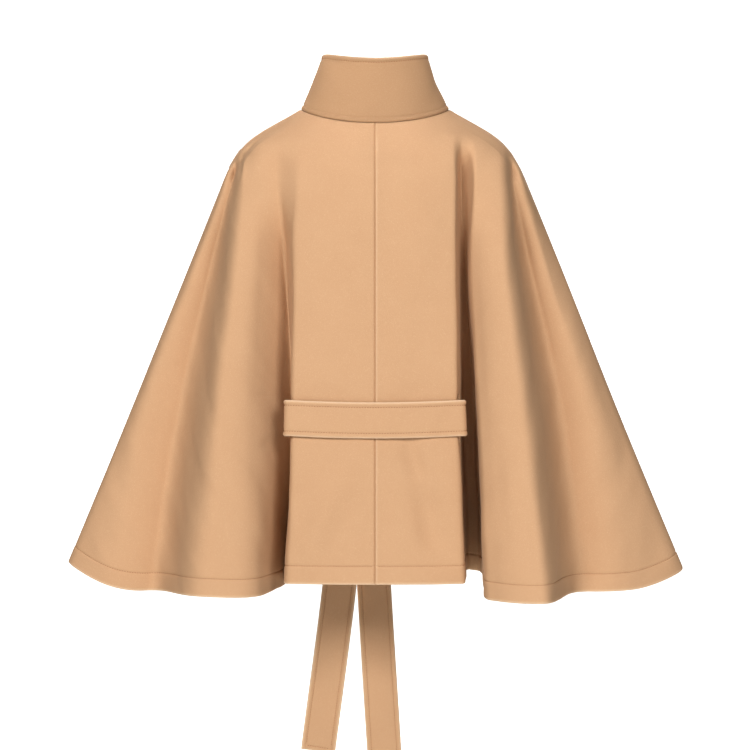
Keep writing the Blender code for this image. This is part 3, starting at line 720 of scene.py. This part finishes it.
def sew(name, runs):
    """Rows of lockstitch: short threads, each dipping into the cloth at both ends. runs holds pairs of
    points and outward directions along a line."""
    points, faces = [], []
    for line, out in runs:
        run = run_along(line)
        for start in np.arange(STITCH_PITCH, run[-1] - STITCH_PITCH, STITCH_PITCH):
            stations = start + STITCH_LENGTH * STITCH_STATIONS
            middle = read_along(run, line, stations)
            up = read_along(run, out, stations)
            up /= length_of(up)
            way = middle[-1] - middle[0]
            way /= np.linalg.norm(way)
            first = len(points)
            for centre, lift, rise, size in zip(middle, up, STITCH_RISES, STITCH_SIZES):
                cross = np.cross(way, lift)
                for turn in range(STITCH_SIDES):
                    angle = 2 * math.pi * turn / STITCH_SIDES
                    points.append(centre + lift * rise + STITCH_HALF * size
                                  * (cross * math.cos(angle) + lift * math.sin(angle)))
            end = len(points) - STITCH_SIDES
            for ring in range(first, end, STITCH_SIDES):
                for turn in range(STITCH_SIDES):
                    a, b = ring + turn, ring + (turn + 1) % STITCH_SIDES
                    faces.append((a, b, b + STITCH_SIDES, a + STITCH_SIDES))
            faces.append(tuple(first + turn for turn in reversed(range(STITCH_SIDES))))
            faces.append(tuple(end + turn for turn in range(STITCH_SIDES)))
    piece = smooth_object(name, [tuple(point) for point in points], faces, thread)
    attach(piece, "root")
    return piece


def lap_lift(sheet):
    """The right front, which laps over, is lifted clear of the left one near the centre front."""
    return LAP_LIFT * eased((LAP_CLEAR + LAP_EASE - sheet[..., :1]) / LAP_EASE)


WAVE_NECK_FADE = 0.10
WAVE_EDGE_FADE = 0.05
BELT_PRESS = (0.0035, 0.034, BELT_Z)         # the tied belt sinks into the cloth
PRESS_TO_X = 0.125
PRESS_EASE = 0.02
HEM_RAISE = 0.0004           # the turned-up layer lifts the face a little
HEM_PAST_STITCH = 0.001
HEM_RAISE_EASE = 0.003
HEM_LAYER_SLACK = 0.0003
HEM_FOLD_REACH = 0.0028
HEM_FOLD_SHARE = 0.25        # of the full thickness, at the very end
# Painted highlight along the hem's fold and, on the right back, beside the centre back seam: strength, half
# width and place
HEM_HIGHLIGHT = (0.55, 0.0020)
SEAM_HIGHLIGHT = (0.24, 0.0008, 0.0021)
SLACK = 1e-6
Panel = namedtuple("Panel", "name folds side which seed flat area creases")
# Creases, in millimetres: from x and z, to x and z, half width and depth.
BACK_LEFT_CREASES = (
    (184, -60, 186, -94, 3, 2.4),
    (179.5, -62, 181.5, -100, 3.5, -1),
    (-44, -60, 14, -60, 17, 2.2),
    (36, -494, 100, -618, 20, -5.6),
    (50, -455, 70, -500, 20, 2.8),
    (12, -560, 18, -640, 15, 1.2),
    (136, -384, 156, -368, 4, 1.1),
    (141, -398, 165, -390, 4.5, 1.2),
    (140, -452, 160, -470, 5, 1),
    (30, -392, 85, -388, 8, 0.9),
    (150, -150, 156, -300, 12, 1),
    (245, -300, 300, -470, 10, -0.9),
    (345, -480, 385, -600, 14, 1.2),
    (205, -480, 215, -620, 11, -1),
    (145, -560, 150, -640, 9, 1),
)
BACK_RIGHT_CREASES = (
    (92, -34, 122, -42, 7, -1.3),
    (196, -86, 204, -108, 3, 1.3),
    (189, -52, 193, -76, 3.5, -1.2),
    (-14, -60, 44, -60, 17, 2.2),
    (41, -452, 62, -512, 14, 7),
    (62, -512, 84, -615, 19, 8.6),
    (100, -450, 106, -560, 12, -1.4),
    (30, -389, 90, -386, 9, 1.2),
    (20, -70, 12, -200, 16, 1.2),
    (158, -395, 176, -372, 5, 1),
    (160, -420, 176, -600, 9, 1.2),
    (300, -330, 350, -480, 12, 1.2),
    (300, -500, 325, -630, 12, -1.2),
    (215, -520, 225, -655, 8, -1.4),
)
FRONT_LEFT_CREASES = (
    (188, -58, 192, -96, 3.5, 2),
    (150, -140, 156, -290, 11, 1),
    (40, -450, 62, -560, 13, 2),
    (140, -386, 162, -372, 4, 1.1),
    (300, -330, 345, -500, 13, 1.2),
    (215, -480, 222, -620, 10, -1.1),
)
FRONT_RIGHT_CREASES = (
    (192, -60, 196, -98, 3.5, 1.8),
    (46, -455, 80, -600, 16, 2.2),
    (95, -470, 104, -610, 12, -1.3),
    (145, -390, 168, -374, 4.5, 1.1),
    (290, -350, 340, -520, 13, 1.1),
    (210, -500, 216, -640, 9, -1.2),
)
PANELS = (
    Panel("back_left", LEFT_FOLDS, 1, "back", 3, (0.80, 0.76), 0.327, BACK_LEFT_CREASES),
    Panel("back_right", RIGHT_FOLDS, -1, "back", 5, (0.89, 0.76), 0.365, BACK_RIGHT_CREASES),
    Panel("front_left", LEFT_FOLDS, 1, "front", 7, (0.62, 0.76), 0.264, FRONT_LEFT_CREASES),
    Panel("front_right", RIGHT_FOLDS, -1, "front", 9, (0.62, 0.76), 0.264, FRONT_RIGHT_CREASES),
)
for panel in PANELS:
    side_seam = place_of(panel.folds, "side")
    centre_front = len(panel.folds) - 1
    first, last = (0, side_seam) if panel.which == "back" else (side_seam, centre_front + 1)
    slit = slit_places(panel.folds, panel.which)
    places = column_places(panel.folds, first, last, slit)
    hem_z = panel.folds[int(slit[0])].hem_z
    slit_heights = [(z - SHOULDER_Z) / (hem_z - SHOULDER_Z) for z in (SLIT_TOP_Z, SLIT_BOTTOM_Z)]
    heights, stitch_row = sheet_rows(panel.folds, places, slit_heights)
    middle = cape_sheet(panel.folds, places, heights)
    if panel.name == "front_right":
        middle = middle + lap_lift(middle)
    out = -facing(middle)
    from_first = from_edge(middle, 1, 0)
    from_last = from_edge(middle, 1, 1)
    from_neck = from_edge(middle, 0, 0)
    from_hem = from_edge(middle, 0, 1)
    waves = ripple(from_first, from_neck, panel.seed) * eased(from_neck / WAVE_NECK_FADE)
    waves = waves * eased(from_first / WAVE_EDGE_FADE) * eased(from_last / WAVE_EDGE_FADE)
    pressed = hump(middle[:, :, 2], *BELT_PRESS) * eased((PRESS_TO_X - middle[:, :, 0]) / PRESS_EASE)
    relief = CLOTH / 2 + waves + creased(middle, panel.creases) - pressed
    relief = relief - seam_dip(from_first) - seam_dip(from_neck) - turned_edge(from_hem)
    relief = relief - (seam_dip(from_last) if panel.which == "back" else turned_edge(from_last))
    relief = relief - hump(from_hem, *STITCH_DIP)
    relief = relief + HEM_RAISE * eased((HEM + HEM_PAST_STITCH - from_hem) / HEM_RAISE_EASE)
    face = middle + out * relief[:, :, None]
    weights = np.where(from_hem < HEM + HEM_LAYER_SLACK, 1.0, CLOTH / (CLOTH + HEM_EXTRA))
    rounded = HEM_FOLD_SHARE + (1 - HEM_FOLD_SHARE) * from_hem / HEM_FOLD_REACH
    weights = np.where(from_hem < HEM_FOLD_REACH, rounded, weights)
    cell_height, cell_place = heights[:-1, :-1] + SLACK, places[None, :-1] + SLACK
    open_cells = ((cell_height > slit_heights[0]) & (cell_height < slit_heights[1])
                  & (cell_place > slit[0]) & (cell_place < slit[1]))
    # A paler highlight is painted along the hem's fold, and on the right back along one side of the centre
    # back seam
    highlight_share = hump(from_hem, *HEM_HIGHLIGHT)
    if panel.name == "back_right":
        highlight_share = np.maximum(highlight_share, hump(from_first, *SEAM_HIGHLIGHT))
    piece = grid_piece(panel.name + "_melton", face, panel.side, CLOTH + HEM_EXTRA, highlight_share, weights,
                       open_cells)
    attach(piece, "root")
    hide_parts(panel.name)
    row, mirror = slice(2, -2), np.array((panel.side, 1.0, 1.0))
    hem_run = (face[stitch_row, row] * mirror, out[stitch_row, row] * mirror)
    stitches = sew(panel.name + "_hem_stitches", [hem_run])


# ---- Collar
# A standing funnel collar, cut as one band of two layers and sewn into the neck seam. Its free edges are
# turned and stitched 7 mm in, and its right end laps over the left one at the centre front.
COLLAR_HALF_WIDTH = 0.0716
COLLAR_DEPTH = 0.0590
COLLAR_SIDE_Z = 0.0830
COLLAR_CENTRE_Z = 0.0720
COLLAR_WAIST = 0.002
COLLAR_THICK = 0.0029
LAP_TURN = math.pi / 18
EDGE_STITCH = 0.007
EDGE_STEPS_MM = (0.0, 0.12, 0.4, 0.9, 1.6, 2.6, 3.8, 5.0, 5.8, 6.4, 7.0, 7.6, 8.2, 9.2)
STITCH_STEP = EDGE_STEPS_MM.index(7.0)


def edge_steps(length, step):
    """Distances along a band, close together near both of its ends."""
    near = np.array(EDGE_STEPS_MM) / 1000
    count = max(int((length - 2 * near[-1]) / step), 1)
    even = np.linspace(near[-1], length - near[-1], count + 1)[1:-1]
    return np.concatenate((near, even, (length - near)[::-1]))


def nearest_edge(along, across):
    """How far each point of a grid lies from its nearest edge."""
    return np.minimum(np.minimum(across, across[-1] - across)[None, :],
                      np.minimum(along, along[-1] - along)[:, None])


TURN_ROUND = 0.0021
EDGE_ROLL = (0.0007, 0.0019, 0.0032)         # the layers turned in fill the edge out
ROLL_FROM = 0.002
EDGE_SUNK = (0.0007, 0.0011, EDGE_STITCH)    # the stitches pull the layers together
# Painted highlight along the turned edges of the collar, belt and tails: strength and half width
BAND_HIGHLIGHT = (0.62, 0.0018)
RIM_SLACK = 1e-9


def turned_thickness(away, half):
    """Half the thickness of a turned and stitched band, at a distance from its nearest edge."""
    t = 1 - np.clip(away / TURN_ROUND, 0, 1)
    roll = hump(away, *EDGE_ROLL) * np.clip(away / ROLL_FROM, 0, 1)
    return half * np.sqrt(1 - t * t) + roll - hump(away, *EDGE_SUNK)


def doubled_band(name, middle, out, away, half, material, turned=None):
    """A closed piece of two layers, from its middle surface: a grid of points, with outward directions and
    how far each point is from the piece's edge. turned is how far it is from a turned one, where that
    differs."""
    thick = turned_thickness(away, half)[:, :, None]
    numbers, cells = grid_cells(*away.shape)
    cells = cells.reshape(-1, 4)
    rim = away < RIM_SLACK
    under = np.where(rim, numbers, numbers.size + np.cumsum(~rim).reshape(away.shape) - 1)
    points = np.concatenate(((middle + out * thick).reshape(-1, 3), (middle - out * thick)[~rim]))
    faces = np.concatenate((cells, under.ravel()[cells][:, ::-1]))
    first = points[cells[0]]
    if np.dot(np.cross(first[1] - first[0], first[2] - first[1]), out[0, 0]) < 0:
        faces = faces[:, ::-1]
    piece = smooth_object(name, points.tolist(), faces.tolist(), material)
    highlight_share = hump(away if turned is None else turned, *BAND_HIGHLIGHT)
    paint_edge_highlights(piece.data, np.concatenate((highlight_share.ravel(), highlight_share[~rim])))
    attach(piece, "root")
    return piece


def both_faces(middle, out, away, half, at):
    """A line on a doubled band, with its outward directions, on each of the band's faces."""
    thick = turned_thickness(away, half)[:, :, None]
    return [((middle + face * out * thick)[at], face * out[at]) for face in (1, -1)]


def collar_middle(angles, heights, over):
    """The collar's middle surface on +X: rows up it, columns round it. Angles past 180 degrees are on the
    lap."""
    lap = np.maximum(angles - math.pi, 0) / LAP_TURN * LAP
    round_neck = np.where(angles > math.pi, math.pi + np.arcsin(lap / NECK_HALF_WIDTH), angles)
    round_top = np.where(angles > math.pi, math.pi + np.arcsin(lap / COLLAR_HALF_WIDTH), angles)
    bottom = neck_ring(round_neck)
    top = xyz(COLLAR_HALF_WIDTH * np.sin(round_top), COLLAR_DEPTH * np.cos(round_top),
              COLLAR_SIDE_Z + (COLLAR_CENTRE_Z - COLLAR_SIDE_Z) * np.cos(round_top) ** 2)
    inwards = -COLLAR_WAIST * xyz(np.sin(round_neck), np.cos(round_neck), 0 * round_neck)
    share = heights[:, None, None]
    sheet = bottom + (top - bottom) * share + inwards * np.sin(math.pi * share)
    if over:
        front = (np.cos(round_neck) < 0)[None, :, None]
        sheet = np.where(front, sheet + lap_lift(sheet), sheet)
    return sheet


COLLAR_HEIGHT = 0.094
COLLAR_CELL = 0.0035
HALF_COLUMNS = 150
LAP_COLUMNS = 22
COLLAR_WAVE_FADE = 0.02
COLLAR_WAVES = 0.7
COLLAR_SEED = 21
COLLAR_STITCHES = slice(6, -6)
half_round = np.concatenate((np.linspace(0, math.pi, HALF_COLUMNS),
                             math.pi + LAP_TURN * np.linspace(0, 1, LAP_COLUMNS)[1:]))
collar_rows = edge_steps(COLLAR_HEIGHT, COLLAR_CELL) / COLLAR_HEIGHT
left_half = collar_middle(half_round, collar_rows, False)
right_half = collar_middle(half_round, collar_rows, True) * np.array((-1.0, 1.0, 1.0))
middle = np.concatenate((left_half[:, ::-1], right_half[:, 1:]), axis=1)
out = facing(middle)
if out[0, out.shape[1] // 2, 1] < 0:
    out = -out
along = from_edge(middle, 1, 0)
up = from_edge(middle, 0, 0)
turned = np.minimum(from_edge(middle, 0, 1), np.minimum(along, from_edge(middle, 1, 1)))
away = np.minimum(up, turned)
wave = ripple(along, up, COLLAR_SEED) * eased(up / COLLAR_WAVE_FADE) * COLLAR_WAVES
middle = middle + out * wave[:, :, None]
collar = doubled_band("collar_melton", middle, out, away, COLLAR_THICK / 2, collar_wool_painted_shade, turned)
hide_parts("collar")
runs = both_faces(middle, out, away, COLLAR_THICK / 2, (-1 - STITCH_STEP, COLLAR_STITCHES))
collar_stitches = sew("collar_edge_stitches", runs)


# ---- Belt
# One long self-fabric belt of two layers, turned and stitched 7 mm in from both edges. It lies on the
# outside of the back, goes in through the slits, and comes out again to be tied at the front.
BELT_CLOTH = 0.0040
BELT_SAG = 0.003
BELT_CLEAR = 0.0010
BELT_OFF = CLOTH / 2 + BELT_CLEAR + BELT_CLOTH / 2
BACK_BEND_PAST_EDGE = 0.0135
FRONT_BEND_PAST_EDGE = 0.0160
BEND_EASE = 0.0015
BACK_RUN_SHORT = 1.4
FRONT_RUN_SHORT = 1.2
BELT_INSIDE_SLIT = 0.022
VALLEY_BACK = (-0.020, -0.006)
VALLEY_FRONT = (0.018, -0.030)
SIDE_TURN_X = 0.168
SIDE_TURN_AHEAD = 0.050
FRONT_TURN_X = 0.150
FRONT_TURN_BEHIND = 0.045
BELT_SOFT = (0.0, 0.42, 0.30, 0.40, 0.50, 0.50, 0.38, 0.40, 0.35, 0.0)
BELT_JOIN_BACK = 2.45
BELT_JOIN_FRONT = 6.5
KNOT_X = 0.022
KNOT_SIZE = (0.046, 0.028, 0.056)
KNOT_REACH = 0.034
KNOT_GATHER = 0.82
OUTSIDE_SAMPLES = 120
INSIDE_SAMPLES = 160
ENTRY_SAMPLES = 40
BELT_STEP = 0.0022
INSIDE_STEP = 0.004
BELT_CELL = 0.0026
ROUNDING_PASSES = 8
SIDE_SEED = 31
FRONT_SEED = 41
BACK_SEED = 51
BELT_WAVES = ((130, 0.0007), (61, 0.0004), (27, 0.0002))
WAVE_LEAN = 0.4
BELT_PLEATS = 2.5            # across the belt where the knot gathers it
PLEAT_DEPTH = 0.010


def outside_run(folds, side, first, last):
    """Plan points of the belt where it lies on a panel."""
    places = np.linspace(first, last, OUTSIDE_SAMPLES)
    plan = cape_sheet(folds, places, np.full((1, len(places)), belt_height(folds)))[0, :, :2]
    way = np.gradient(plan, axis=0)
    way /= length_of(way)
    run = plan + xyz(-way[:, 1], way[:, 0]) * BELT_OFF
    if side < 0 and run[-1, 1] < 0:
        run = run + lap_lift(run)[:, :2]
    return run


def unit(vector):
    return vector / np.linalg.norm(vector)


def belt_turns(folds, back, front):
    _, edge, to_valley, _ = slit_wall(folds, "back")
    slit = edge + unit(to_valley) * BACK_SLIT_FROM_EDGE
    outside = np.array((edge[0] + BACK_BEND_PAST_EDGE, back[-1][1] - BEND_EASE))
    valley = edge + to_valley
    _, front_edge, to_front_valley, _ = slit_wall(folds, "front")
    front_slit = front_edge + unit(to_front_valley) * FRONT_SLIT_FROM_EDGE
    front_outside = np.array((front_edge[0] + FRONT_BEND_PAST_EDGE, front[0][1] + BEND_EASE))
    return np.array((back[-1], outside, slit + unit(slit - outside) * BELT_INSIDE_SLIT, valley + VALLEY_BACK,
                     valley + VALLEY_FRONT, (SIDE_TURN_X, valley[1] - SIDE_TURN_AHEAD),
                     (FRONT_TURN_X, front_slit[1] + FRONT_TURN_BEHIND),
                     front_slit + unit(front_slit - front_outside) * BELT_INSIDE_SLIT, front_outside,
                     front[0]))


def turned_run(turns, first, last):
    return crease_shares(BELT_SOFT, np.linspace(first, last, INSIDE_SAMPLES)) @ turns


def evened(plan, step):
    """A plan line with even steps, closer at both ends, and its small kinks rounded off."""
    run = run_along(plan)
    line = read_along(run, plan, np.linspace(0, run[-1], int(run[-1] / step) + 1))
    for _ in range(ROUNDING_PASSES):
        line[1:-1] = 0.25 * line[:-2] + 0.5 * line[1:-1] + 0.25 * line[2:]
    run = run_along(line)
    at = edge_steps(run[-1], step)
    return read_along(run, line, at), at


def belt_runs(middle, outs, away):
    """Where the stitches lie along both long edges of the belt, on both faces."""
    kept = slice(len(EDGE_STEPS_MM) - 2, 2 - len(EDGE_STEPS_MM))
    return [run for column in (STITCH_STEP, -1 - STITCH_STEP)
            for run in both_faces(middle, outs, away, BELT_CLOTH / 2, (kept, column))]


def belt_band(name, plan, side, seed, sag=None, gather=None, step=BELT_STEP):
    """A stretch of belt standing on edge along its plan line."""
    line, run = evened(plan, step)
    way = np.gradient(line, axis=0)
    way /= length_of(way)
    out = xyz(-way[:, 1], way[:, 0], 0 * run)
    share = gather(line) if gather else np.ones(len(line))
    across = edge_steps(BELT_WIDTH, BELT_CELL)
    up = (across[None, :] - BELT_WIDTH / 2) * share[:, None]
    drop = sag(line) if sag else np.zeros(len(line))
    middle = np.zeros((len(line), len(across), 3))
    middle[:, :, :2] = line[:, None, :]
    middle[:, :, 2] = BELT_Z - drop[:, None] + up
    outs = np.repeat(out[:, None, :], len(across), axis=1)
    chance = np.random.default_rng(seed)
    wave = np.zeros((len(line), len(across)))
    for length_mm, depth in BELT_WAVES:
        phase = chance.uniform(0, 2 * math.pi, 2)
        wave += depth * np.sin(2000 * math.pi * (run[:, None] + WAVE_LEAN * up) / length_mm + phase[0])
    pleats = (1 - share[:, None]) * PLEAT_DEPTH * np.sin(across / BELT_WIDTH * 2 * BELT_PLEATS * math.pi)
    middle += outs * (wave + pleats)[:, :, None]
    mirror = np.array((side, 1.0, 1.0))
    middle, outs = middle * mirror, outs * mirror
    away = nearest_edge(run, across)
    piece = doubled_band(name + "_melton", middle, outs, away, BELT_CLOTH / 2, belt_wool)
    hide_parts(name)
    stitches = sew(name + "_edge_stitches", belt_runs(middle, outs, away))


def back_sag(line):
    reach = LEFT_FOLDS[place_of(LEFT_FOLDS, "panel edge")].belt_x
    return BELT_SAG * np.maximum(1 - (line[:, 0] / reach) ** 2, 0.0)


front_y = (cape_sheet(RIGHT_FOLDS, np.array((len(RIGHT_FOLDS) - 1.0,)),
                      np.full((1, 1), belt_height(RIGHT_FOLDS)))[0, 0, 1] + LAP_LIFT[1])
knot_y = front_y - CLOTH / 2 - SEAM_GAP - KNOT_SIZE[1] / 2
across_back = []
for side, folds, word in ((1, LEFT_FOLDS, "left"), (-1, RIGHT_FOLDS, "right")):
    panel_edge = place_of(folds, "panel edge")
    front_edge = place_of(folds, "front panel")
    back = outside_run(folds, side, 0, panel_edge - BACK_RUN_SHORT * folds[panel_edge].soft)
    front = outside_run(folds, side, front_edge + FRONT_RUN_SHORT * folds[front_edge].soft, len(folds) - 1)
    turns = belt_turns(folds, back, front)
    inside = turned_run(turns, BELT_JOIN_BACK, BELT_JOIN_FRONT)
    belt_band("belt_side_" + word, inside, side, SIDE_SEED + side, step=INSIDE_STEP)
    knot_side = KNOT_X * side + KNOT_SIZE[0] / 2 + SEAM_GAP
    start = knot_side + KNOT_REACH
    outer = np.concatenate((turned_run(turns, BELT_JOIN_FRONT, len(turns) - 1)[:-1], front))
    kept = outer[(outer[:, 0] > start) | (outer[:, 0] > front[0, 0])]
    reach = np.linspace(start, knot_side, ENTRY_SAMPLES)
    lying = np.interp(reach, front[::-1, 0], front[::-1, 1])
    entering = lying + (knot_y - lying) * eased(np.minimum((start - reach) / KNOT_REACH, 1))
    plan = np.concatenate((kept, xyz(reach, entering)))
    belt_band("belt_front_" + word, plan, side, FRONT_SEED + side,
              gather=lambda line: 1 - (1 - KNOT_GATHER) * eased(1 - (line[:, 0] - knot_side) / KNOT_REACH))
    outside = np.concatenate((back, turned_run(turns, 0, BELT_JOIN_BACK)[1:]))
    across_back.append(outside * np.array((side, 1.0)))
belt_band("belt_back", np.concatenate((across_back[1][::-1], across_back[0][1:])), 1, BACK_SEED,
          sag=back_sag)


# ---- Knot and free ends
# The belt is tied once at the front: one end wraps round the gathered layers and both ends hang down from
# it, the right one over the left. Each free end is closed with a slanting edge, turned and stitched.
LOOP_WIDTH = 0.030
LOOP_DEPTH = 0.0118
LOOP_HEIGHT = 0.0258
LOOP_SLANT = 0.16
LOOP_CLOTH = 0.0034
LOOP_TURNS = (100, 446)      # degrees round the layers
LOOP_STEPS = 170
LOOP_STEP = 0.0008
LOOP_CELL = 0.0012
LOOP_HOLLOW = 0.14
LOOP_PLEATS = 3
LOOP_PLEAT_DEPTH = 0.0007
LOOP_PLEAT_WANDER = 1.2
LOOP_SQUARENESS = (0.75, 0.85)
around_knot = np.radians(np.linspace(*LOOP_TURNS, LOOP_STEPS))
across_knot = edge_steps(LOOP_WIDTH, LOOP_CELL)
bulge = 1 - LOOP_HOLLOW * ((across_knot - LOOP_WIDTH / 2) / (LOOP_WIDTH / 2)) ** 2
wander = LOOP_PLEAT_WANDER * np.sin(around_knot[:, None])
pleat = LOOP_PLEAT_DEPTH * np.cos(across_knot / LOOP_WIDTH * 2 * LOOP_PLEATS * math.pi + wander)
loop = np.zeros((len(around_knot), len(across_knot), 3))
ring_y = np.sign(np.cos(around_knot)) * np.abs(np.cos(around_knot)) ** LOOP_SQUARENESS[0]
ring_z = np.sign(np.sin(around_knot)) * np.abs(np.sin(around_knot)) ** LOOP_SQUARENESS[1]
loop[:, :, 1] = knot_y + (LOOP_DEPTH * bulge + pleat) * ring_y[:, None]
loop[:, :, 2] = BELT_Z + (LOOP_HEIGHT * bulge + pleat) * ring_z[:, None]
loop[:, :, 0] = KNOT_X + across_knot - LOOP_WIDTH / 2 + LOOP_SLANT * (loop[:, :, 2] - BELT_Z)
loop_out = facing(loop)
quarter = LOOP_STEPS // 4
if loop_out[quarter, len(across_knot) // 2, 1] * ring_y[quarter] < 0:
    loop_out = -loop_out
loop_away = nearest_edge(np.arange(LOOP_STEPS) * LOOP_STEP, across_knot)
loop_piece = doubled_band("belt_knot_wrap", loop, loop_out, loop_away, LOOP_CLOTH / 2, belt_wool)
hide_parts("belt_knot")

# The layers inside the wrap are squeezed into pleats that run on into the two front stretches.
CORE_HALF = (0.0228, 0.0098, 0.0215)
CORE_TURNS = 96
CORE_RISES = 41
CORE_SQUARENESS = 0.55
CORE_PLEATS = 9
CORE_PLEAT_DEPTH = 0.07
core_turns = np.radians(np.linspace(0, 360, CORE_TURNS + 1))[:-1]
core_rises = np.radians(np.linspace(-90, 90, CORE_RISES))[:, None]
core = np.zeros((CORE_RISES, CORE_TURNS, 3))
squeeze = np.abs(np.cos(core_rises)) ** CORE_SQUARENESS
ripples = 1 + CORE_PLEAT_DEPTH * np.cos(CORE_PLEATS * core_turns)
core[:, :, 0] = KNOT_X + CORE_HALF[0] * np.sin(core_rises)
core[:, :, 1] = knot_y + CORE_HALF[1] * squeeze * np.cos(core_turns) * ripples
core[:, :, 2] = BELT_Z + CORE_HALF[2] * squeeze * np.sin(core_turns) * ripples
core_faces = [(row + j, row + (j + 1) % CORE_TURNS, row + CORE_TURNS + (j + 1) % CORE_TURNS,
               row + CORE_TURNS + j)
              for row in range(0, (CORE_RISES - 1) * CORE_TURNS, CORE_TURNS) for j in range(CORE_TURNS)]
core_piece = smooth_object("belt_knot_layers", core.reshape(-1, 3).tolist(), core_faces, belt_wool)
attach(core_piece, "root")
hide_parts("belt_knot")

TAIL_TOP_WIDTH = 0.036
TAIL_OPENS = 0.09
TAIL_KNOT_FORWARD = 0.004
TAIL_INSIDE_KNOT = 0.014
TAIL_WIDTH = 0.0505
TAIL_STEP = 0.0035
TAIL_SETTLE = 0.12
TAIL_SWINGS = ((0.0012, 0.21, 2), (0.0005, 0.07, -3))      # depth, length, and how they lean
TAIL_PLEAT_DEPTH = 0.0016
CURL_LEVEL = 0.3
Tail = namedtuple("Tail", "name top_x hem_x end_x end_z slant forward curl seed flat area")
TAILS = (
    Tail("belt_tail_left", 0.031, 0.0495, 0.0845, -0.925, 0.004, 0.0, 0.0022, 61, (0.500, 0.0505), 0.0247),
    Tail("belt_tail_right", 0.013, 0.003, -0.015, -0.945, -0.006, 0.0052, -0.0016, 67,
         (0.520, 0.0505), 0.0258),
)
for tail in TAILS:
    top_z = BELT_Z - KNOT_SIZE[2] / 2 + TAIL_INSIDE_KNOT
    hem_z = RIGHT_FOLDS[-1].hem_z
    hem_y = RIGHT_FOLDS[-1].hem_y + LAP_LIFT[1] - BELT_OFF - tail.forward
    levels = (tail.end_z, hem_z, top_z)
    down = edge_steps(top_z - tail.end_z, TAIL_STEP)
    z = top_z - down
    x = smooth_through(levels, (tail.end_x, tail.hem_x, tail.top_x), z)
    y = smooth_through(levels, (hem_y, hem_y, front_y - BELT_OFF - tail.forward - TAIL_KNOT_FORWARD), z)
    opened = np.minimum(np.maximum(down - TAIL_INSIDE_KNOT, 0) / TAIL_OPENS, 1.0)
    width = TAIL_TOP_WIDTH + (TAIL_WIDTH - TAIL_TOP_WIDTH) * eased(opened)
    across = edge_steps(TAIL_WIDTH, BELT_CELL)
    spread = across / TAIL_WIDTH - 0.5
    fall = 2 * tail.slant * down / down[-1]
    middle = xyz(x[:, None] + spread * width[:, None], y[:, None] + 0 * spread,
                 z[:, None] + spread * fall[:, None])
    chance = np.random.default_rng(tail.seed)
    phase = chance.uniform(0, 2 * math.pi, 3)
    swing = tail.curl * (4 * spread ** 2 - CURL_LEVEL)
    for (depth, length, lean), start in zip(TAIL_SWINGS, phase):
        swing = swing + depth * np.sin(down[:, None] * 2 * math.pi / length + start + lean * spread)
    middle[:, :, 1] += eased(down / TAIL_SETTLE)[:, None] * swing
    pleats = TAIL_PLEAT_DEPTH * np.cos(spread * 2 * BELT_PLEATS * math.pi)
    middle[:, :, 1] += (1 - opened[:, None]) * pleats
    outs = facing(middle)
    if outs[3, 3, 1] < 0:
        outs = -outs
    away = nearest_edge(down, across)
    piece = doubled_band(tail.name + "_melton", middle, outs, away, BELT_CLOTH / 2, belt_wool)
    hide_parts(tail.name)
    inner = slice(len(EDGE_STEPS_MM) - 4, 4 - len(EDGE_STEPS_MM))
    runs = belt_runs(middle, outs, away)
    runs += both_faces(middle, outs, away, BELT_CLOTH / 2, (-1 - STITCH_STEP, inner))
    stitches = sew(tail.name + "_edge_stitches", runs)
